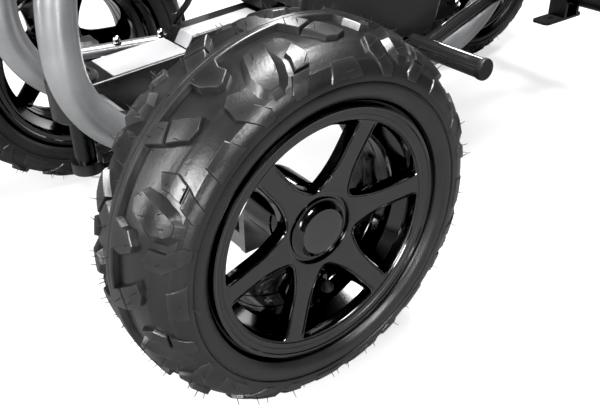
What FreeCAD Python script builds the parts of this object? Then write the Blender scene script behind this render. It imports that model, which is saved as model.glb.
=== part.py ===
import FreeCAD, Part
import math
import os

# All-terrain knee scooter: four wheels, twin rails, a folding steering column and
# a knee pad. Millimetres. +X forward, +Y left, +Z up, ground at Z = 0.
# It is drawn with X = 0 at the front axle. save() then moves each piece forward
# by X_SHIFT, so that X = 0 is the middle of the machine's length.

os.makedirs("parts", exist_ok=True)
V = FreeCAD.Vector
SIDES = (1, -1)            # left, right

# ---------------------------------------------------------------- dimensions
REAR_X = -715.0            # rear axle, behind the front axle
X_SHIFT = -REAR_X / 2
AXLE_Z = 163.5             # tyre radius, and so axle height
FRONT_Y = 242.5            # front wheel centre plane, each side
REAR_Y = 215.0             # rear wheel centre plane, each side

# Wheels
RIM_R = 109.5              # rim flange
RIM_HALF = 51.7            # rim half width over the flanges
SEAT_R = 101.0             # bead seat
SPOKE_A0 = 52.2            # first spoke, degrees from forward
SPOKE_W = 19.5
SPOKE_COUNT = 6
WIN_R = 96.0               # window outer radius
WIN_APEX = 38.0            # window inner radius
VALVE_DEG = 254.4          # valve position, degrees from forward
AXLE_R = 9.95
BRG_BORE = 10.0
BRG_OR = 21.0
BRG_W = 12.0
BRG_Y = 20.0               # near face of each bearing, from the wheel's centre plane
BRG_FAR = BRG_Y + BRG_W    # far face
SHOULDER = BRG_FAR + 0.2   # axle shoulder
WASHER = BRG_FAR + 0.3     # near face of the axle end washer
WASHER_R = 14.0
WASHER_T = 2.6

# Twin main rails
RAIL_Y = 76.0
RAIL_R = 16.7
RAIL_BORE = 14.2           # radius
RAIL_Z = 174.0             # bottom run centre
RAIL_FX = 111.0            # front upright
RAIL_RX = -458.0           # rear upright
RAIL_TOP_F = 430.0
RAIL_TOP_R = 400.0
RAIL_LEAN = math.radians(12.5)
RAIL_LEAN_Z = 272.0        # where the front upright starts to lean back
RAIL_BENDS = [300.0, 98.0, 136.0]

# Central spine
SPINE_HALF = 28.0          # half width
SPINE_Z0 = 187.0
SPINE_NOSE_Z = 222.5       # front deck, at the steering head
SPINE_Z1 = 231.5           # front deck, at the step
SPINE_Z2 = 252.5           # raised part
STEP_X = -42.0
SPINE_END = -425.0
NOSE_R = 25.0

# Steering
STEER_X = 80.0
SHAFT_R = 11.0
HEAD_Z0 = 405.0
HEAD_Z1 = 455.0
HEAD_BORE = 18.0           # bearing seat radius, head and nose
KING_Y = 165.0
KING_R = 6.0
ARM = 55.0                 # pitman arm and steering arms
BEAM_Z = 141.0
EYE_R = 11.0               # arm and rod eyes
EYE_T = 7.0
ROD_STEP = EYE_T + 1.0     # height between stacked eyes
ARM_Z = 98.0               # left steering arm and lower knuckle lug, underside

# Column and handlebar
FOLD_Z = 485.0
FOLD_R = 6.0
COL_LEAN = 8.0             # degrees back from vertical
COL_R = 17.0
COL_BORE = 14.1            # radius
STEM_R = 14.0
STEM_WALL = 2.5
BAR_R = 11.1
BAR_WALL = 2.2
BAR_S = 465.0              # bar centre, along the column from the fold pivot
BAR_RISE = 22.5            # bar ends above the bar centre

# Rear cross bar
XBAR_X = -285.0
XBAR_Z = 201.2
XBAR_R = 11.0
XBAR_HALF = 199.0
XBAR_CAP = 6.0

# Rear axle, brake and fenders
REAR_BEAM_R = 19.0
REAR_BEAM_HALF = 126.0
TAB_Y = (118.0, 124.0)     # fender arm tabs
FENDER_BOLT_UP = 36.0      # fender bolt above the axle
FENDER_ARM_GAP = 0.2
FENDER_ARM_T = 4.0
CALIPER_UP = 62.0          # caliper arm pivot above the axle
CALIPER_Y = (140.0, 147.0)  # caliper bracket plate
DISC_Y = REAR_Y - 38.2     # brake disc, inner face
DISC_T = 2.2

# Knee pad
PAD_X0, PAD_X1 = -600.0, -210.0
PAD_HALF = 100.0
BOARD_INSET = 8.0
PLATE_Z0, PLATE_Z1 = 454.0, 458.0
PAD_Z0, PAD_Z1 = 470.0, 530.0
LEG_R = 14.1
LEG_WALL = 2.5

# --------------------------------------------------------------------- tables
# Half of the tyre's closed section: (radius, y), mirrored in y = 0.
TYRE_HALF = [
    (163.5, 0.0), (163.0, 14.0), (161.5, 27.0), (158.0, 38.0), (152.0, 47.0),
    (144.0, 54.0), (135.0, 57.3), (126.0, 57.0), (118.0, 54.0), (112.6, 50.2),
    (111.2, 47.2), (101.3, 47.0), (101.3, 36.0), (108.0, 37.5), (116.0, 45.5),
    (126.0, 50.0), (136.0, 50.0), (144.0, 46.0), (150.0, 38.0), (154.0, 26.0),
    (156.0, 13.0), (156.5, 0.0)]
# Barrel, disc and hub: (radius, y).
RIM_SECTION = [
    (RIM_R, RIM_HALF), (RIM_R, 48.4), (105.5, 47.9), (103.0, 47.4), (SEAT_R, 47.2),
    (SEAT_R, 34.0), (90.0, 28.0), (88.0, 25.0), (88.0, -25.0), (90.0, -28.0),
    (SEAT_R, -34.0), (SEAT_R, -47.2), (103.0, -47.4), (105.5, -47.9), (RIM_R, -48.4),
    (RIM_R, -RIM_HALF), (104.0, -RIM_HALF), (98.0, -49.0), (97.5, -36.0),
    (87.0, -30.0), (84.5, -26.0), (84.5, 26.0), (87.0, 30.0), (94.0, 33.0),
    (90.0, 34.5), (38.0, 24.0), (27.0, 22.0), (27.0, -36.0), (BRG_OR, -36.0),
    (BRG_OR, -BRG_Y), (18.0, -BRG_Y), (18.0, BRG_Y), (BRG_OR, BRG_Y), (BRG_OR, 34.0),
    (31.0, 34.0), (31.0, 35.6), (38.0, 36.6), (90.0, 46.4), (95.5, 48.2),
    (96.5, 49.6), (101.0, 50.4), (104.0, RIM_HALF)]
# Hub cap: (radius, y).
CAP_SECTION = [
    (0, 39.0), (18.6, 39.0), (19.8, 38.0), (20.4, 36.9), (21.4, 36.6), (27.6, 36.9),
    (29.4, 36.2), (30.1, 35.0), (30.1, 34.1), (20.9, 34.1), (20.9, 33.0),
    (17.5, 33.0), (17.5, 35.4), (0, 35.4)]
# Fender: (radius, y), inner skirt at -y.
FENDER_SECTION = [
    (178.0, -66.0), (182.0, -60.0), (186.0, -30.0), (187.0, 0.0), (186.0, 30.0),
    (182.0, 58.0), (168.0, 66.0), (165.6, 65.0), (180.2, 56.6), (183.6, 29.4),
    (184.6, 0.0), (183.6, -29.4), (180.0, -58.0), (176.6, -63.4), (150.0, -63.4),
    (150.0, -66.0)]
# Moulded cover, outside and cavity, in side view: (x, z).
SHELL_OUTER = [
    (-124, 270), (-180, 243), (-262, 211), (-311, 208), (-334, 241), (-352, 318),
    (-330, 330), (-150, 330), (-128, 318)]
SHELL_INNER = [
    (-124.9, 240), (-180, 190), (-262, 160), (-311, 160), (-321.4, 200), (-349, 317),
    (-328.7, 327), (-151.2, 327), (-131, 316.3)]
# Handlebar's left half from the tip inward: (x, y, z) from the bar centre.
BAR_HALF_PATH = [(-30.75, 285, BAR_RISE), (-9, 140, BAR_RISE), (0, 70, 0)]
# Brake lever blade: (x from the perch, y).
LEVER_PATH = [(34, 158), (40, 175), (36, 200), (30, 230), (26, 262), (27, 274)]
# Lower brake cable corners: (x, y, z). It leaves the spine's right side wall.
CABLE_PATH = [
    (-70, -23, 200), (-58, -35, 208), (-50.5, -33.6, 241), (-57, 0, 275),
    (-47, 14, 332), (20, 31, 410), (52, 27.5, 428)]
CABLE_BENDS = [9.0, 14.0, 45.0, 60.0, 30.0]


# -------------------------------------------------------------------- helpers
def cylinder(base, axis, radius, length):
    return Part.makeCylinder(radius, length, V(*base), V(*axis))


def cyl_y(x, y, z, radius, length, side=1):
    """Cylinder from (x, y, z) toward +Y, or toward -Y when side is -1."""
    return cylinder((x, y, z), (0, side, 0), radius, length)


def cyl_z(x, y, z, radius, height):
    return cylinder((x, y, z), (0, 0, 1), radius, height)


def ring(base, axis, outer_r, bore_r, length):
    overshoot = 1.0
    bore_base = V(*base) - V(*axis) * overshoot
    body = cylinder(base, axis, outer_r, length)
    return body.cut(cylinder(bore_base, axis, bore_r, length + 2 * overshoot))


def box(x0, x1, y0, y1, z0, z1):
    return Part.makeBox(x1 - x0, y1 - y0, z1 - z0, V(x0, y0, z0))


def edges_along(shape, axis):
    """Edges that start out parallel to the named axis."""
    return [e for e in shape.Edges
            if abs(getattr(e.tangentAt(e.FirstParameter), axis)) > 0.9]


def long_edges(shape, above_z=0.0):
    """Lengthwise edges over 60 long, lying wholly above a height."""
    return [e for e in shape.Edges
            if abs(e.tangentAt(e.FirstParameter).y) < 0.1
            and e.BoundBox.XLength > 60 and e.BoundBox.ZMin > above_z]


def rounded_box(x0, x1, y0, y1, z0, z1, radius, axis="z"):
    block = box(x0, x1, y0, y1, z0, z1)
    return block.makeFillet(radius, edges_along(block, axis))


def plate_xz(points, y0, y1):
    """Side view outline of (x, z), extruded from y0 to y1."""
    outline = Part.makePolygon([V(x, y0, z) for x, z in points + points[:1]])
    return Part.Face(outline).extrude(V(0, y1 - y0, 0))


def span(side, inner, outer):
    """The y range from inner to outer on one side, low value first."""
    return sorted((side * inner, side * outer))


def fused(shape, *others):
    for other in others:
        shape = shape.fuse(other)
    return shape


def minus(shape, *tools):
    for tool in tools:
        shape = shape.cut(tool)
    return shape


def largest(shape):
    return max(shape.Solids, key=lambda s: s.Volume)


def mirror_y(shape):
    return shape.mirror(V(0, 0, 0), V(0, 1, 0))


def upright(shape):
    """Turns a shape with negative volume the right way out."""
    if shape.Volume < 0:
        shape.reverse()
    return shape


def bent_path(points, radii):
    """Straight runs with a rounded bend at each inner point."""
    corners = [V(*p) for p in points]
    edges = []
    last = corners[0]
    for i, radius in enumerate(radii, 1):
        corner = corners[i]
        back = (corners[i - 1] - corner).normalize()
        ahead = (corners[i + 1] - corner).normalize()
        half = math.acos(max(-1.0, min(1.0, back.dot(ahead)))) / 2.0
        setback = radius / math.tan(half)
        room = min((last - corner).Length, (corners[i + 1] - corner).Length)
        if setback > room + 1e-4:
            raise ValueError("bend %d does not fit, %.1f" % (i, setback))
        start = corner + back * setback
        end = corner + ahead * setback
        bisector = (back + ahead).normalize()
        middle = corner + bisector * (radius / math.sin(half)) - bisector * radius
        if (start - last).Length > 1e-6:
            edges.append(Part.makeLine(last, start))
        edges.append(Part.Arc(start, middle, end).toShape())
        last = end
    edges.append(Part.makeLine(last, corners[-1]))
    return Part.Wire(edges)


def sweep(path, radius):
    """Round bar along a path."""
    edge = path.Edges[0]
    at = edge.FirstParameter
    if (edge.valueAt(at) - path.OrderedVertexes[0].Point).Length > 1e-4:
        at = edge.LastParameter
    circle = Part.makeCircle(radius, edge.valueAt(at), edge.tangentAt(at))
    return upright(path.makePipeShell([Part.Wire([circle])], True, False))


def revolve_y(points, angle=360.0, start=0.0):
    """Closed section of (radius, y) turned about Y, angles from forward to up."""
    face = Part.Face(Part.makePolygon([V(r, y, 0) for r, y in points + points[:1]]))
    if start:
        face.rotate(V(0, 0, 0), V(0, 1, 0), -start)
    return upright(face.revolve(V(0, 0, 0), V(0, 1, 0), -angle))


def save(name, *shapes):
    shape = shapes[0] if len(shapes) == 1 else Part.makeCompound(list(shapes))
    shape = shape.copy()
    shape.translate(V(X_SHIFT, 0, 0))
    shape.exportStep("parts/%s.step" % name)


# --------------------------------------------------------------------- wheels
# Local frame: axis along Y, outer face toward +Y, centre plane at y = 0.
def make_tyre():
    return revolve_y(TYRE_HALF + [(r, -y) for r, y in reversed(TYRE_HALF) if y > 0])


def window_cutter(middle_deg):
    """Rounded wedge between two spokes, whose sides run parallel to the spokes."""
    y0, depth = 15.0, 45
    half_w = SPOKE_W / 2.0
    half_angle = math.radians(180 / SPOKE_COUNT)
    cos, sin = math.cos(half_angle), math.sin(half_angle)
    vertex = half_w / sin
    apex_r = WIN_APEX - vertex

    def on_side(along):
        return along * cos + half_w * sin, along * sin - half_w * cos

    inner_x, inner_z = on_side((vertex + 2 * apex_r) * cos)
    outer_x, outer_z = on_side(math.sqrt(WIN_R ** 2 - half_w ** 2))
    inner_low, inner_high = V(inner_x, y0, -inner_z), V(inner_x, y0, inner_z)
    outer_low, outer_high = V(outer_x, y0, -outer_z), V(outer_x, y0, outer_z)
    outline = Part.Wire([
        Part.Arc(inner_low, V(WIN_APEX, y0, 0), inner_high).toShape(),
        Part.makeLine(inner_high, outer_high),
        Part.Arc(outer_high, V(WIN_R, y0, 0), outer_low).toShape(),
        Part.makeLine(outer_low, inner_low)])
    cutter = Part.Face(outline).extrude(V(0, depth, 0))
    cutter.rotate(V(0, 0, 0), V(0, 1, 0), -middle_deg)
    return cutter


def make_rim():
    rim = revolve_y(RIM_SECTION)
    # The windows open the disc only: this ring protects the barrel.
    barrel = ring((0, 10, 0), (0, 1, 0), 120.0, 93.0, 22.0)
    pitch = 360 / SPOKE_COUNT
    for k in range(SPOKE_COUNT):
        rim = rim.cut(window_cutter(SPOKE_A0 + pitch * (k + 0.5)).cut(barrel))

    # Snap-in valve stem through the barrel's well.
    angle = math.radians(VALVE_DEG)
    cos, sin = math.cos(angle), math.sin(angle)

    def radial(start, radius, length):
        return cylinder((cos * start, 18.0, sin * start), (cos, 0, sin), radius, length)

    rim = rim.cut(radial(80, 4.2, 20))
    stem, collar, foot = radial(66, 3.6, 26), radial(80.4, 6.5, 4), radial(89.0, 6.5, 2.5)
    valve = fused(stem, collar, foot).removeSplitter().cut(rim)
    return rim.fuse(valve).removeSplitter()


def make_wheel_bearings():
    return Part.makeCompound([ring((0, y, 0), (0, 1, 0), BRG_OR, BRG_BORE, BRG_W)
                              for y in (BRG_Y, -BRG_FAR)])


def save_wheels():
    pieces = {"tyre": make_tyre(), "rim": make_rim(),
              "hub_cap": revolve_y(CAP_SECTION), "bearings": make_wheel_bearings()}
    for end, x, y in (("front", 0.0, FRONT_Y), ("rear", REAR_X, REAR_Y)):
        for side, hand in zip(SIDES, ("left", "right")):
            for kind, source in pieces.items():
                piece = source.copy() if side > 0 else mirror_y(source)
                piece.translate(V(x, side * y, AXLE_Z))
                save("%s_%s_%s" % (kind, end, hand), piece)


# ------------------------------------------------------------ twin main rails
UPRIGHT_AXIS = V(-math.sin(RAIL_LEAN), 0, math.cos(RAIL_LEAN))
LEAN_CORNER_Z = RAIL_LEAN_Z + RAIL_BENDS[0] * math.tan(RAIL_LEAN / 2.0)
RAIL_TOP_X = RAIL_FX - math.tan(RAIL_LEAN) * (RAIL_TOP_F - LEAN_CORNER_Z)


def rail_bar(radius, extra=0.0):
    """Solid left rail, longer at both ends by extra."""
    front_top = V(RAIL_TOP_X, RAIL_Y, RAIL_TOP_F) + UPRIGHT_AXIS * extra
    points = [front_top, (RAIL_FX, RAIL_Y, LEAN_CORNER_Z), (RAIL_FX, RAIL_Y, RAIL_Z),
              (RAIL_RX, RAIL_Y, RAIL_Z), (RAIL_RX, RAIL_Y, RAIL_TOP_R + extra)]
    return sweep(bent_path(points, RAIL_BENDS), radius)


def both_sides(shape):
    return [shape, mirror_y(shape)]


# Solid rails, and rails with 2 mm clearance, for cutting other pieces.
RAILS = both_sides(rail_bar(RAIL_R))
RAILS_CLEAR = both_sides(rail_bar(RAIL_R + 2.0, 1.0))


def save_rails():
    rail = RAILS[0].cut(rail_bar(RAIL_BORE, 4.0))
    save("rail_left", rail)
    save("rail_right", mirror_y(rail))


# -------------------------------------------------------------- steering head
def make_head_crown():
    """Head tube, tied to the two leaning uprights, with a four-hole front plate."""
    plate_x0, plate_x1 = 121.0, 126.0
    rib_x0, rib_x1 = STEER_X + 14, plate_x0 + 0.5
    crown = ring((STEER_X, 0, HEAD_Z0), (0, 0, 1), 22.5, HEAD_BORE, HEAD_Z1 - HEAD_Z0)
    for side in SIDES:
        base = V(RAIL_TOP_X, side * RAIL_Y, RAIL_TOP_F) - UPRIGHT_AXIS * 26.0
        crown = crown.fuse(cylinder(base, UPRIGHT_AXIS, 21.5, 31.0))
    crown = fused(
        crown,
        rounded_box(STEER_X - 13, STEER_X + 15, -RAIL_Y, RAIL_Y, 413, 431, 4.0, "y"),
        box(STEER_X - 5, STEER_X + 7, -RAIL_Y, RAIL_Y, 407, 437),
        rounded_box(plate_x0, plate_x1, -42.0, 42.0, 392.0, 452.0, 8.0, "x"),
        box(rib_x0, rib_x1, -5, 5, 410, 436),
        box(rib_x0, rib_x1, -34, -26, 414, 430),
        box(rib_x0, rib_x1, 26, 34, 414, 430))
    crown = crown.cut(cyl_z(STEER_X, 0, HEAD_Z0 - 2, HEAD_BORE, HEAD_Z1 - HEAD_Z0 + 4))
    for y in (-28.0, 28.0):
        for z in (402.0, 442.0):
            crown = crown.cut(cylinder((plate_x0 - 3, y, z), (1, 0, 0), 3.3, 12))
    return minus(crown, *RAILS).removeSplitter()


def make_head_bearings():
    """Two bearings in the head tube and two in the spine's nose."""
    return [ring((STEER_X, 0, z), (0, 0, 1), HEAD_BORE, SHAFT_R + 0.05, 10.0)
            for z in (HEAD_Z0 + 1.0, HEAD_Z1 - 11.0, 186.0, 216.0)]


# -------------------------------------------------------------- central spine
def make_spine_low():
    body = plate_xz([(SPINE_END, SPINE_Z0), (STEER_X, SPINE_Z0), (STEER_X, SPINE_NOSE_Z),
                     (-50.0, SPINE_Z1), (SPINE_END, SPINE_Z1)], -SPINE_HALF, SPINE_HALF)
    return body.makeFillet(2.5, long_edges(body))


def make_spine_high():
    """Narrower raised part behind the step."""
    half = SPINE_HALF - 4
    body = plate_xz([(SPINE_END, SPINE_Z0 + 3), (-34.0, SPINE_Z0 + 3), (-34.0, 231.0),
                     (STEP_X, 243.5), (-165.0, SPINE_Z2), (SPINE_END, SPINE_Z2)], -half, half)
    return body.makeFillet(2.5, long_edges(body, 240))


def make_spine_nose():
    body = cyl_z(STEER_X, 0, 184.0, NOSE_R, 44.0)
    return body.makeChamfer(3.0, [e for e in body.Edges if e.Length > 100])


SPINE_LOW, SPINE_HIGH, SPINE_NOSE = make_spine_low(), make_spine_high(), make_spine_nose()
SPINE = [SPINE_LOW, SPINE_HIGH]


def make_spine_beam():
    end_x, low_z, high_z = SPINE_END + 4, SPINE_Z0 + 3, SPINE_Z0 + 6
    low_half, high_half = SPINE_HALF - 3, SPINE_HALF - 7
    low_cavity = plate_xz([(end_x, low_z), (46.0, low_z), (46.0, 221.3), (-50.0, 228.0),
                           (end_x, 228.0)], -low_half, low_half)
    high_cavity = plate_xz([(end_x, high_z), (-40.0, high_z), (-40.0, 233.0),
                            (-44.5, 240.0), (-165.2, 249.0), (end_x, 249.0)],
                           -high_half, high_half)
    # Cable hole, low in the right side wall.
    cable_hole = bent_path([(-82, -11, 192)] + CABLE_PATH[1:3], CABLE_BENDS[:1])
    spine = fused(*SPINE, SPINE_NOSE)
    spine = minus(spine, low_cavity, high_cavity, cyl_z(STEER_X, 0, 180, HEAD_BORE, 60))
    return spine.cut(sweep(cable_hole, 4.0)).removeSplitter()


def make_blank_plates():
    """Thin plates on the front deck and over the step."""
    deck = plate_xz([(48.0, 224.72), (-33.0, 230.32), (-33.0, 231.1), (48.0, 225.5)],
                    -25.5, 25.5)
    step = plate_xz([(-34.6, 231.94), (STEP_X, 243.5), (-124.0, 249.5), (-124.0, 250.3),
                     (-41.55, 244.35), (-33.93, 232.37)], -3.0, 22.0)
    return [minus(plate, *SPINE) for plate in (deck, step)]


def make_side_tube():
    """Thin tube from the right upright back to the side of the spine."""
    direction = V(-232.0, 48.0, 0)
    direction.normalize()
    bar = cylinder((110.0, -80.14, 219.6), direction, 6.5, 256.0)
    return largest(minus(bar, *RAILS, *SPINE))


def make_small_tubes(side_tube):
    """Two stubs from nose to uprights, a cross tube under the spine, the side tube."""
    front = cyl_y(68, -RAIL_Y, 205, 8.0, 2 * RAIL_Y)
    front = minus(front, *RAILS, SPINE_NOSE, SPINE_LOW, cyl_z(STEER_X, 0, 180, NOSE_R, 60))
    stubs = [s for s in front.Solids if s.Volume > 300]
    middle = cyl_y(-250, -RAIL_Y, RAIL_Z, 11.0, 2 * RAIL_Y)
    middle = middle.fuse(box(-262, -238, -20, 20, RAIL_Z, SPINE_Z0))
    return stubs + [largest(minus(middle, *RAILS)), side_tube]


# -------------------------------------------------------- front axle assembly
def make_front_beam():
    beam = cyl_y(0, -KING_Y, BEAM_Z, 16.0, 2 * KING_Y)
    for side in SIDES:
        y = side * RAIL_Y
        beam = fused(beam, cyl_z(0, side * KING_Y, 116, 16.0, 66),
                     box(-14, 14, y - 14, y + 14, 148, 170))
    beam = beam.fuse(box(-12, 12, -16, 16, 150, SPINE_Z0))
    beam = beam.cut(cyl_y(0, -KING_Y + 20, BEAM_Z, 13.0, 2 * KING_Y - 40))
    bores = [cyl_z(0, side * KING_Y, 110, KING_R, 80) for side in SIDES]
    return minus(beam, *bores, *RAILS).removeSplitter()


def make_kingpin(side):
    y = side * KING_Y
    pin = fused(cyl_z(0, y, 92, KING_R, 104), cyl_z(0, y, 193.5, 10.0, 5.0),
                cyl_z(0, y, 90.5, 10.0, 7.0))
    return pin.removeSplitter()


def make_knuckle(side, arm_z):
    """Forked knuckle with stub axle, rearward arm and rod pin. Drawn on the left."""
    low_z0, low_z1, high_z0, high_z1 = ARM_Z, 115, 183, 193
    lug_r, wall_y0, wall_y1, stub_y = 16.0, 183, 191, 186
    fork = fused(
        cyl_z(0, KING_Y, low_z0, lug_r, low_z1 - low_z0),
        cyl_z(0, KING_Y, high_z0, lug_r, high_z1 - high_z0),
        box(-lug_r, lug_r, KING_Y, wall_y1, low_z0, low_z1),
        box(-lug_r, lug_r, KING_Y, wall_y1, high_z0, high_z1),
        box(-17, 17, wall_y0, wall_y1, low_z0, high_z1))
    fork = fork.cut(cyl_z(0, KING_Y, low_z1, 17.2, high_z0 - low_z1))
    knuckle = fused(
        fork,
        cyl_y(0, stub_y, AXLE_Z, 13.0, FRONT_Y - SHOULDER - stub_y),
        cyl_y(0, stub_y, AXLE_Z, AXLE_R, FRONT_Y + 32.6 - stub_y),
        cyl_y(0, FRONT_Y + WASHER, AXLE_Z, WASHER_R, WASHER_T),
        box(-ARM, 0, KING_Y - 9, KING_Y + 9, arm_z, arm_z + EYE_T),
        cyl_z(-ARM, KING_Y, arm_z, EYE_R, EYE_T),
        cyl_z(-ARM, KING_Y, arm_z, 4.0, 18.0),
        cyl_z(-ARM, KING_Y, arm_z + 15.5, 7.0, 5.0))
    knuckle = knuckle.cut(cyl_z(0, KING_Y, 90, KING_R + 0.05, 112)).removeSplitter()
    return knuckle if side > 0 else mirror_y(knuckle)


def make_tie_rod(side, z0):
    """Rod from the pitman arm to a steering arm, with flat eyes from z0 up."""
    inner = V(STEER_X - ARM, 0, z0 + EYE_T / 2)
    outer = V(-ARM, side * KING_Y, z0 + EYE_T / 2)
    axis = outer - inner
    length = axis.Length
    axis.normalize()
    rod = fused(
        cylinder(inner + axis * 10, axis, 4.0, length - 20),
        cyl_z(inner.x, inner.y, z0, EYE_R, EYE_T),
        cyl_z(outer.x, outer.y, z0, EYE_R, EYE_T),
        cylinder(inner + axis * 22, axis, 6.0, 12),
        cylinder(outer - axis * 34, axis, 6.0, 12))
    # Flatten the nuts above and below, then bore the eyes.
    return minus(
        rod,
        box(-200, 200, -300, 300, z0 + EYE_T + 0.6, z0 + 30),
        box(-200, 200, -300, 300, z0 - 20, z0 - 0.6),
        cyl_z(inner.x, inner.y, z0 - 5, 4.05, 20),
        cyl_z(outer.x, outer.y, z0 - 5, 4.5, 20)).removeSplitter()


# ------------------------------------------------------ steering shaft + yoke
def make_steering_shaft():
    base_z, pin_x = 124, STEER_X - ARM
    shaft = fused(
        cyl_z(STEER_X, 0, base_z, SHAFT_R, 334),
        box(pin_x, STEER_X, -10, 10, 125, 131),
        cyl_z(pin_x, 0, 125, EYE_R, 6.0),
        cyl_z(STEER_X, 0, base_z, 16.0, 12.0),
        # The pin hangs down through both rod eyes, with a nut below them.
        cyl_z(pin_x, 0, 104, 4.0, 24.0),
        cyl_z(pin_x, 0, 101, 7.0, 4.4),
        cyl_z(pin_x, 0, 121.6, 6.0, 3.8),
        # Collars above the nose and above the head tube.
        cyl_z(STEER_X, 0, 228.6, 15.0, 8.0),
        cyl_z(STEER_X, 0, HEAD_Z1 + 1, 24.0, 7.0))

    half, inner_y, outer_y = 18, 20.2, 29.0
    x0, x1 = STEER_X - half, STEER_X + half
    yoke = box(x0, x1, -outer_y, outer_y, HEAD_Z1 + 7, HEAD_Z1 + 12)
    for side in SIDES:
        y0, y1 = span(side, inner_y, outer_y)
        cheek = box(x0, x1, y0, y1, HEAD_Z1 + 8, FOLD_Z)
        yoke = yoke.fuse(cheek.fuse(cyl_y(STEER_X, y0, FOLD_Z, half, outer_y - inner_y)))
    yoke = yoke.cut(cyl_y(STEER_X, -40, FOLD_Z, FOLD_R, 80))
    return shaft.fuse(yoke).removeSplitter()


def make_fold_pin():
    pin = cyl_y(STEER_X, -32, FOLD_Z, FOLD_R, 66)
    pin = pin.fuse(cyl_y(STEER_X, -35, FOLD_Z, 10.0, 5.8)).removeSplitter()
    # The middle is turned down to a running fit in the column's hinge block.
    return pin.cut(ring((STEER_X, -20.0, FOLD_Z), (0, 1, 0), 7.0, FOLD_R - 0.05, 40.0))


def make_fold_lever():
    """Cam lever on the pin's left end, standing up beside the column."""
    tip_z, y0, thick = FOLD_Z + 62, 33.0, 5.0
    blade = [(STEER_X - 6, FOLD_Z), (STEER_X + 6, FOLD_Z), (STEER_X + 5, tip_z),
             (STEER_X - 5, tip_z)]
    lever = fused(cyl_y(STEER_X, 30.0, FOLD_Z, 9.0, 9.0), plate_xz(blade, y0, y0 + thick),
                  cyl_y(STEER_X, y0, tip_z, 6.5, thick))
    return lever.cut(cyl_y(STEER_X, 20, FOLD_Z, FOLD_R + 0.05, 30)).removeSplitter()


# -------------------------------------------------------------- column + stem
FOLD_PIVOT = V(STEER_X, 0, FOLD_Z)
COL_AXIS = V(-math.sin(math.radians(COL_LEAN)), 0, math.cos(math.radians(COL_LEAN)))
HEIGHT_PIN_X = -40         # height clamp pin, in the column frame


def along_column(distance):
    return FOLD_PIVOT + COL_AXIS * distance


def column_cyl(start, radius, length):
    return cylinder(along_column(start), COL_AXIS, radius, length)


def place_on_column(shape):
    """Column frame, with z along the column from the fold pivot, to machine frame."""
    shape.rotate(V(0, 0, 0), V(0, 1, 0), -COL_LEAN)
    shape.translate(FOLD_PIVOT)
    return shape


def make_column():
    column = fused(
        cyl_y(STEER_X, -19.8, FOLD_Z, 18.0, 39.6),
        column_cyl(8, COL_R, 300),
        column_cyl(284, 22.0, 34),
        place_on_column(box(-50, -16, -10, 10, 288, 314)))
    column = minus(column, column_cyl(30, COL_BORE, 330),
                   cyl_y(STEER_X, -40, FOLD_Z, FOLD_R, 80))
    # Height lever pin, held by a small block at each end.
    x = HEIGHT_PIN_X
    blocks = box(x - 4, x + 4, -20, -10, 313.5, 316.5).fuse(
        box(x - 4, x + 4, -20, -10, 285.5, 288.5))
    pin = cyl_z(x, -18, 286, 3.0, 30).fuse(blocks)
    return column.fuse(place_on_column(pin)).removeSplitter()


def make_height_lever():
    """Lever lying forward along the right side of the column."""
    x = HEIGHT_PIN_X
    lever = cyl_z(x, -18, 291, 7.0, 20).fuse(box(x, x + 72, -20.5, -16, 295, 307))
    lever = minus(lever, cyl_z(x, -18, 281, 3.05, 40), cyl_z(0, 0, 270, 22.6, 60))
    return place_on_column(lever.removeSplitter())


STEM = column_cyl(150, STEM_R, 302).cut(column_cyl(140, STEM_R - STEM_WALL, 290))

# ------------------------------------------------------------------ handlebar
BAR = along_column(BAR_S)  # bar centre
GRIP_Z = BAR.z + BAR_RISE


def make_bar_path():
    half = [(BAR.x + x, y, BAR.z + z) for x, y, z in BAR_HALF_PATH]
    return bent_path([(x, -y, z) for x, y, z in half] + half[::-1], [60.0] * 4)


BAR_PATH = make_bar_path()
BAR_SOLID = sweep(BAR_PATH, BAR_R)


def make_bar_clamp():
    clamp = column_cyl(436, 19.0, 26).fuse(cyl_y(BAR.x, -28, BAR.z, 19.0, 56))
    clamp = clamp.cut(STEM.fuse(column_cyl(150, STEM_R - STEM_WALL + 0.1, 302)))
    return clamp.cut(BAR_SOLID).removeSplitter()


def make_grip(side):
    start = V(BAR.x - 15.9, side * 186, GRIP_Z)
    end = V(BAR.x - 31.2, side * 288, GRIP_Z)
    axis = end - start
    length = axis.Length
    axis.normalize()
    grip = fused(cylinder(start, axis, 16.5, length), cylinder(start, axis, 20.0, 5),
                 cylinder(end - axis * 6, axis, 18.0, 6))
    return grip.cut(BAR_SOLID).removeSplitter()


# Brake lever, perch and parking button, left side.
PERCH_X = BAR.x - 12.0
LEVER_X, LEVER_Y = PERCH_X + LEVER_PATH[0][0], LEVER_PATH[0][1]
BUTTON_X, BUTTON_Y = PERCH_X + 24, 152
PIVOT_R = 3.0
PIVOT_BORE = PIVOT_R + 0.05


def make_brake_perch():
    x0, x1, y0, y1 = PERCH_X + 8, PERCH_X + 42, 146, 170
    perch = fused(
        cyl_y(PERCH_X, 150, GRIP_Z, 15.5, 20),
        box(x0, x1, y0, y1, GRIP_Z - 9, GRIP_Z - 4),
        box(x0, x1, y0, y1, GRIP_Z + 4, GRIP_Z + 9),
        box(x0, x0 + 10, y0, y1, GRIP_Z - 9, GRIP_Z + 9))
    perch = minus(perch, BAR_SOLID, cyl_z(LEVER_X, LEVER_Y, GRIP_Z - 20, PIVOT_R, 40),
                  cyl_z(BUTTON_X, BUTTON_Y, GRIP_Z + 2, PIVOT_BORE, 12))
    perch = largest(perch.removeSplitter())
    return perch.fuse(cyl_z(LEVER_X, LEVER_Y, GRIP_Z - 10, PIVOT_R, 20)).removeSplitter()


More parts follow.
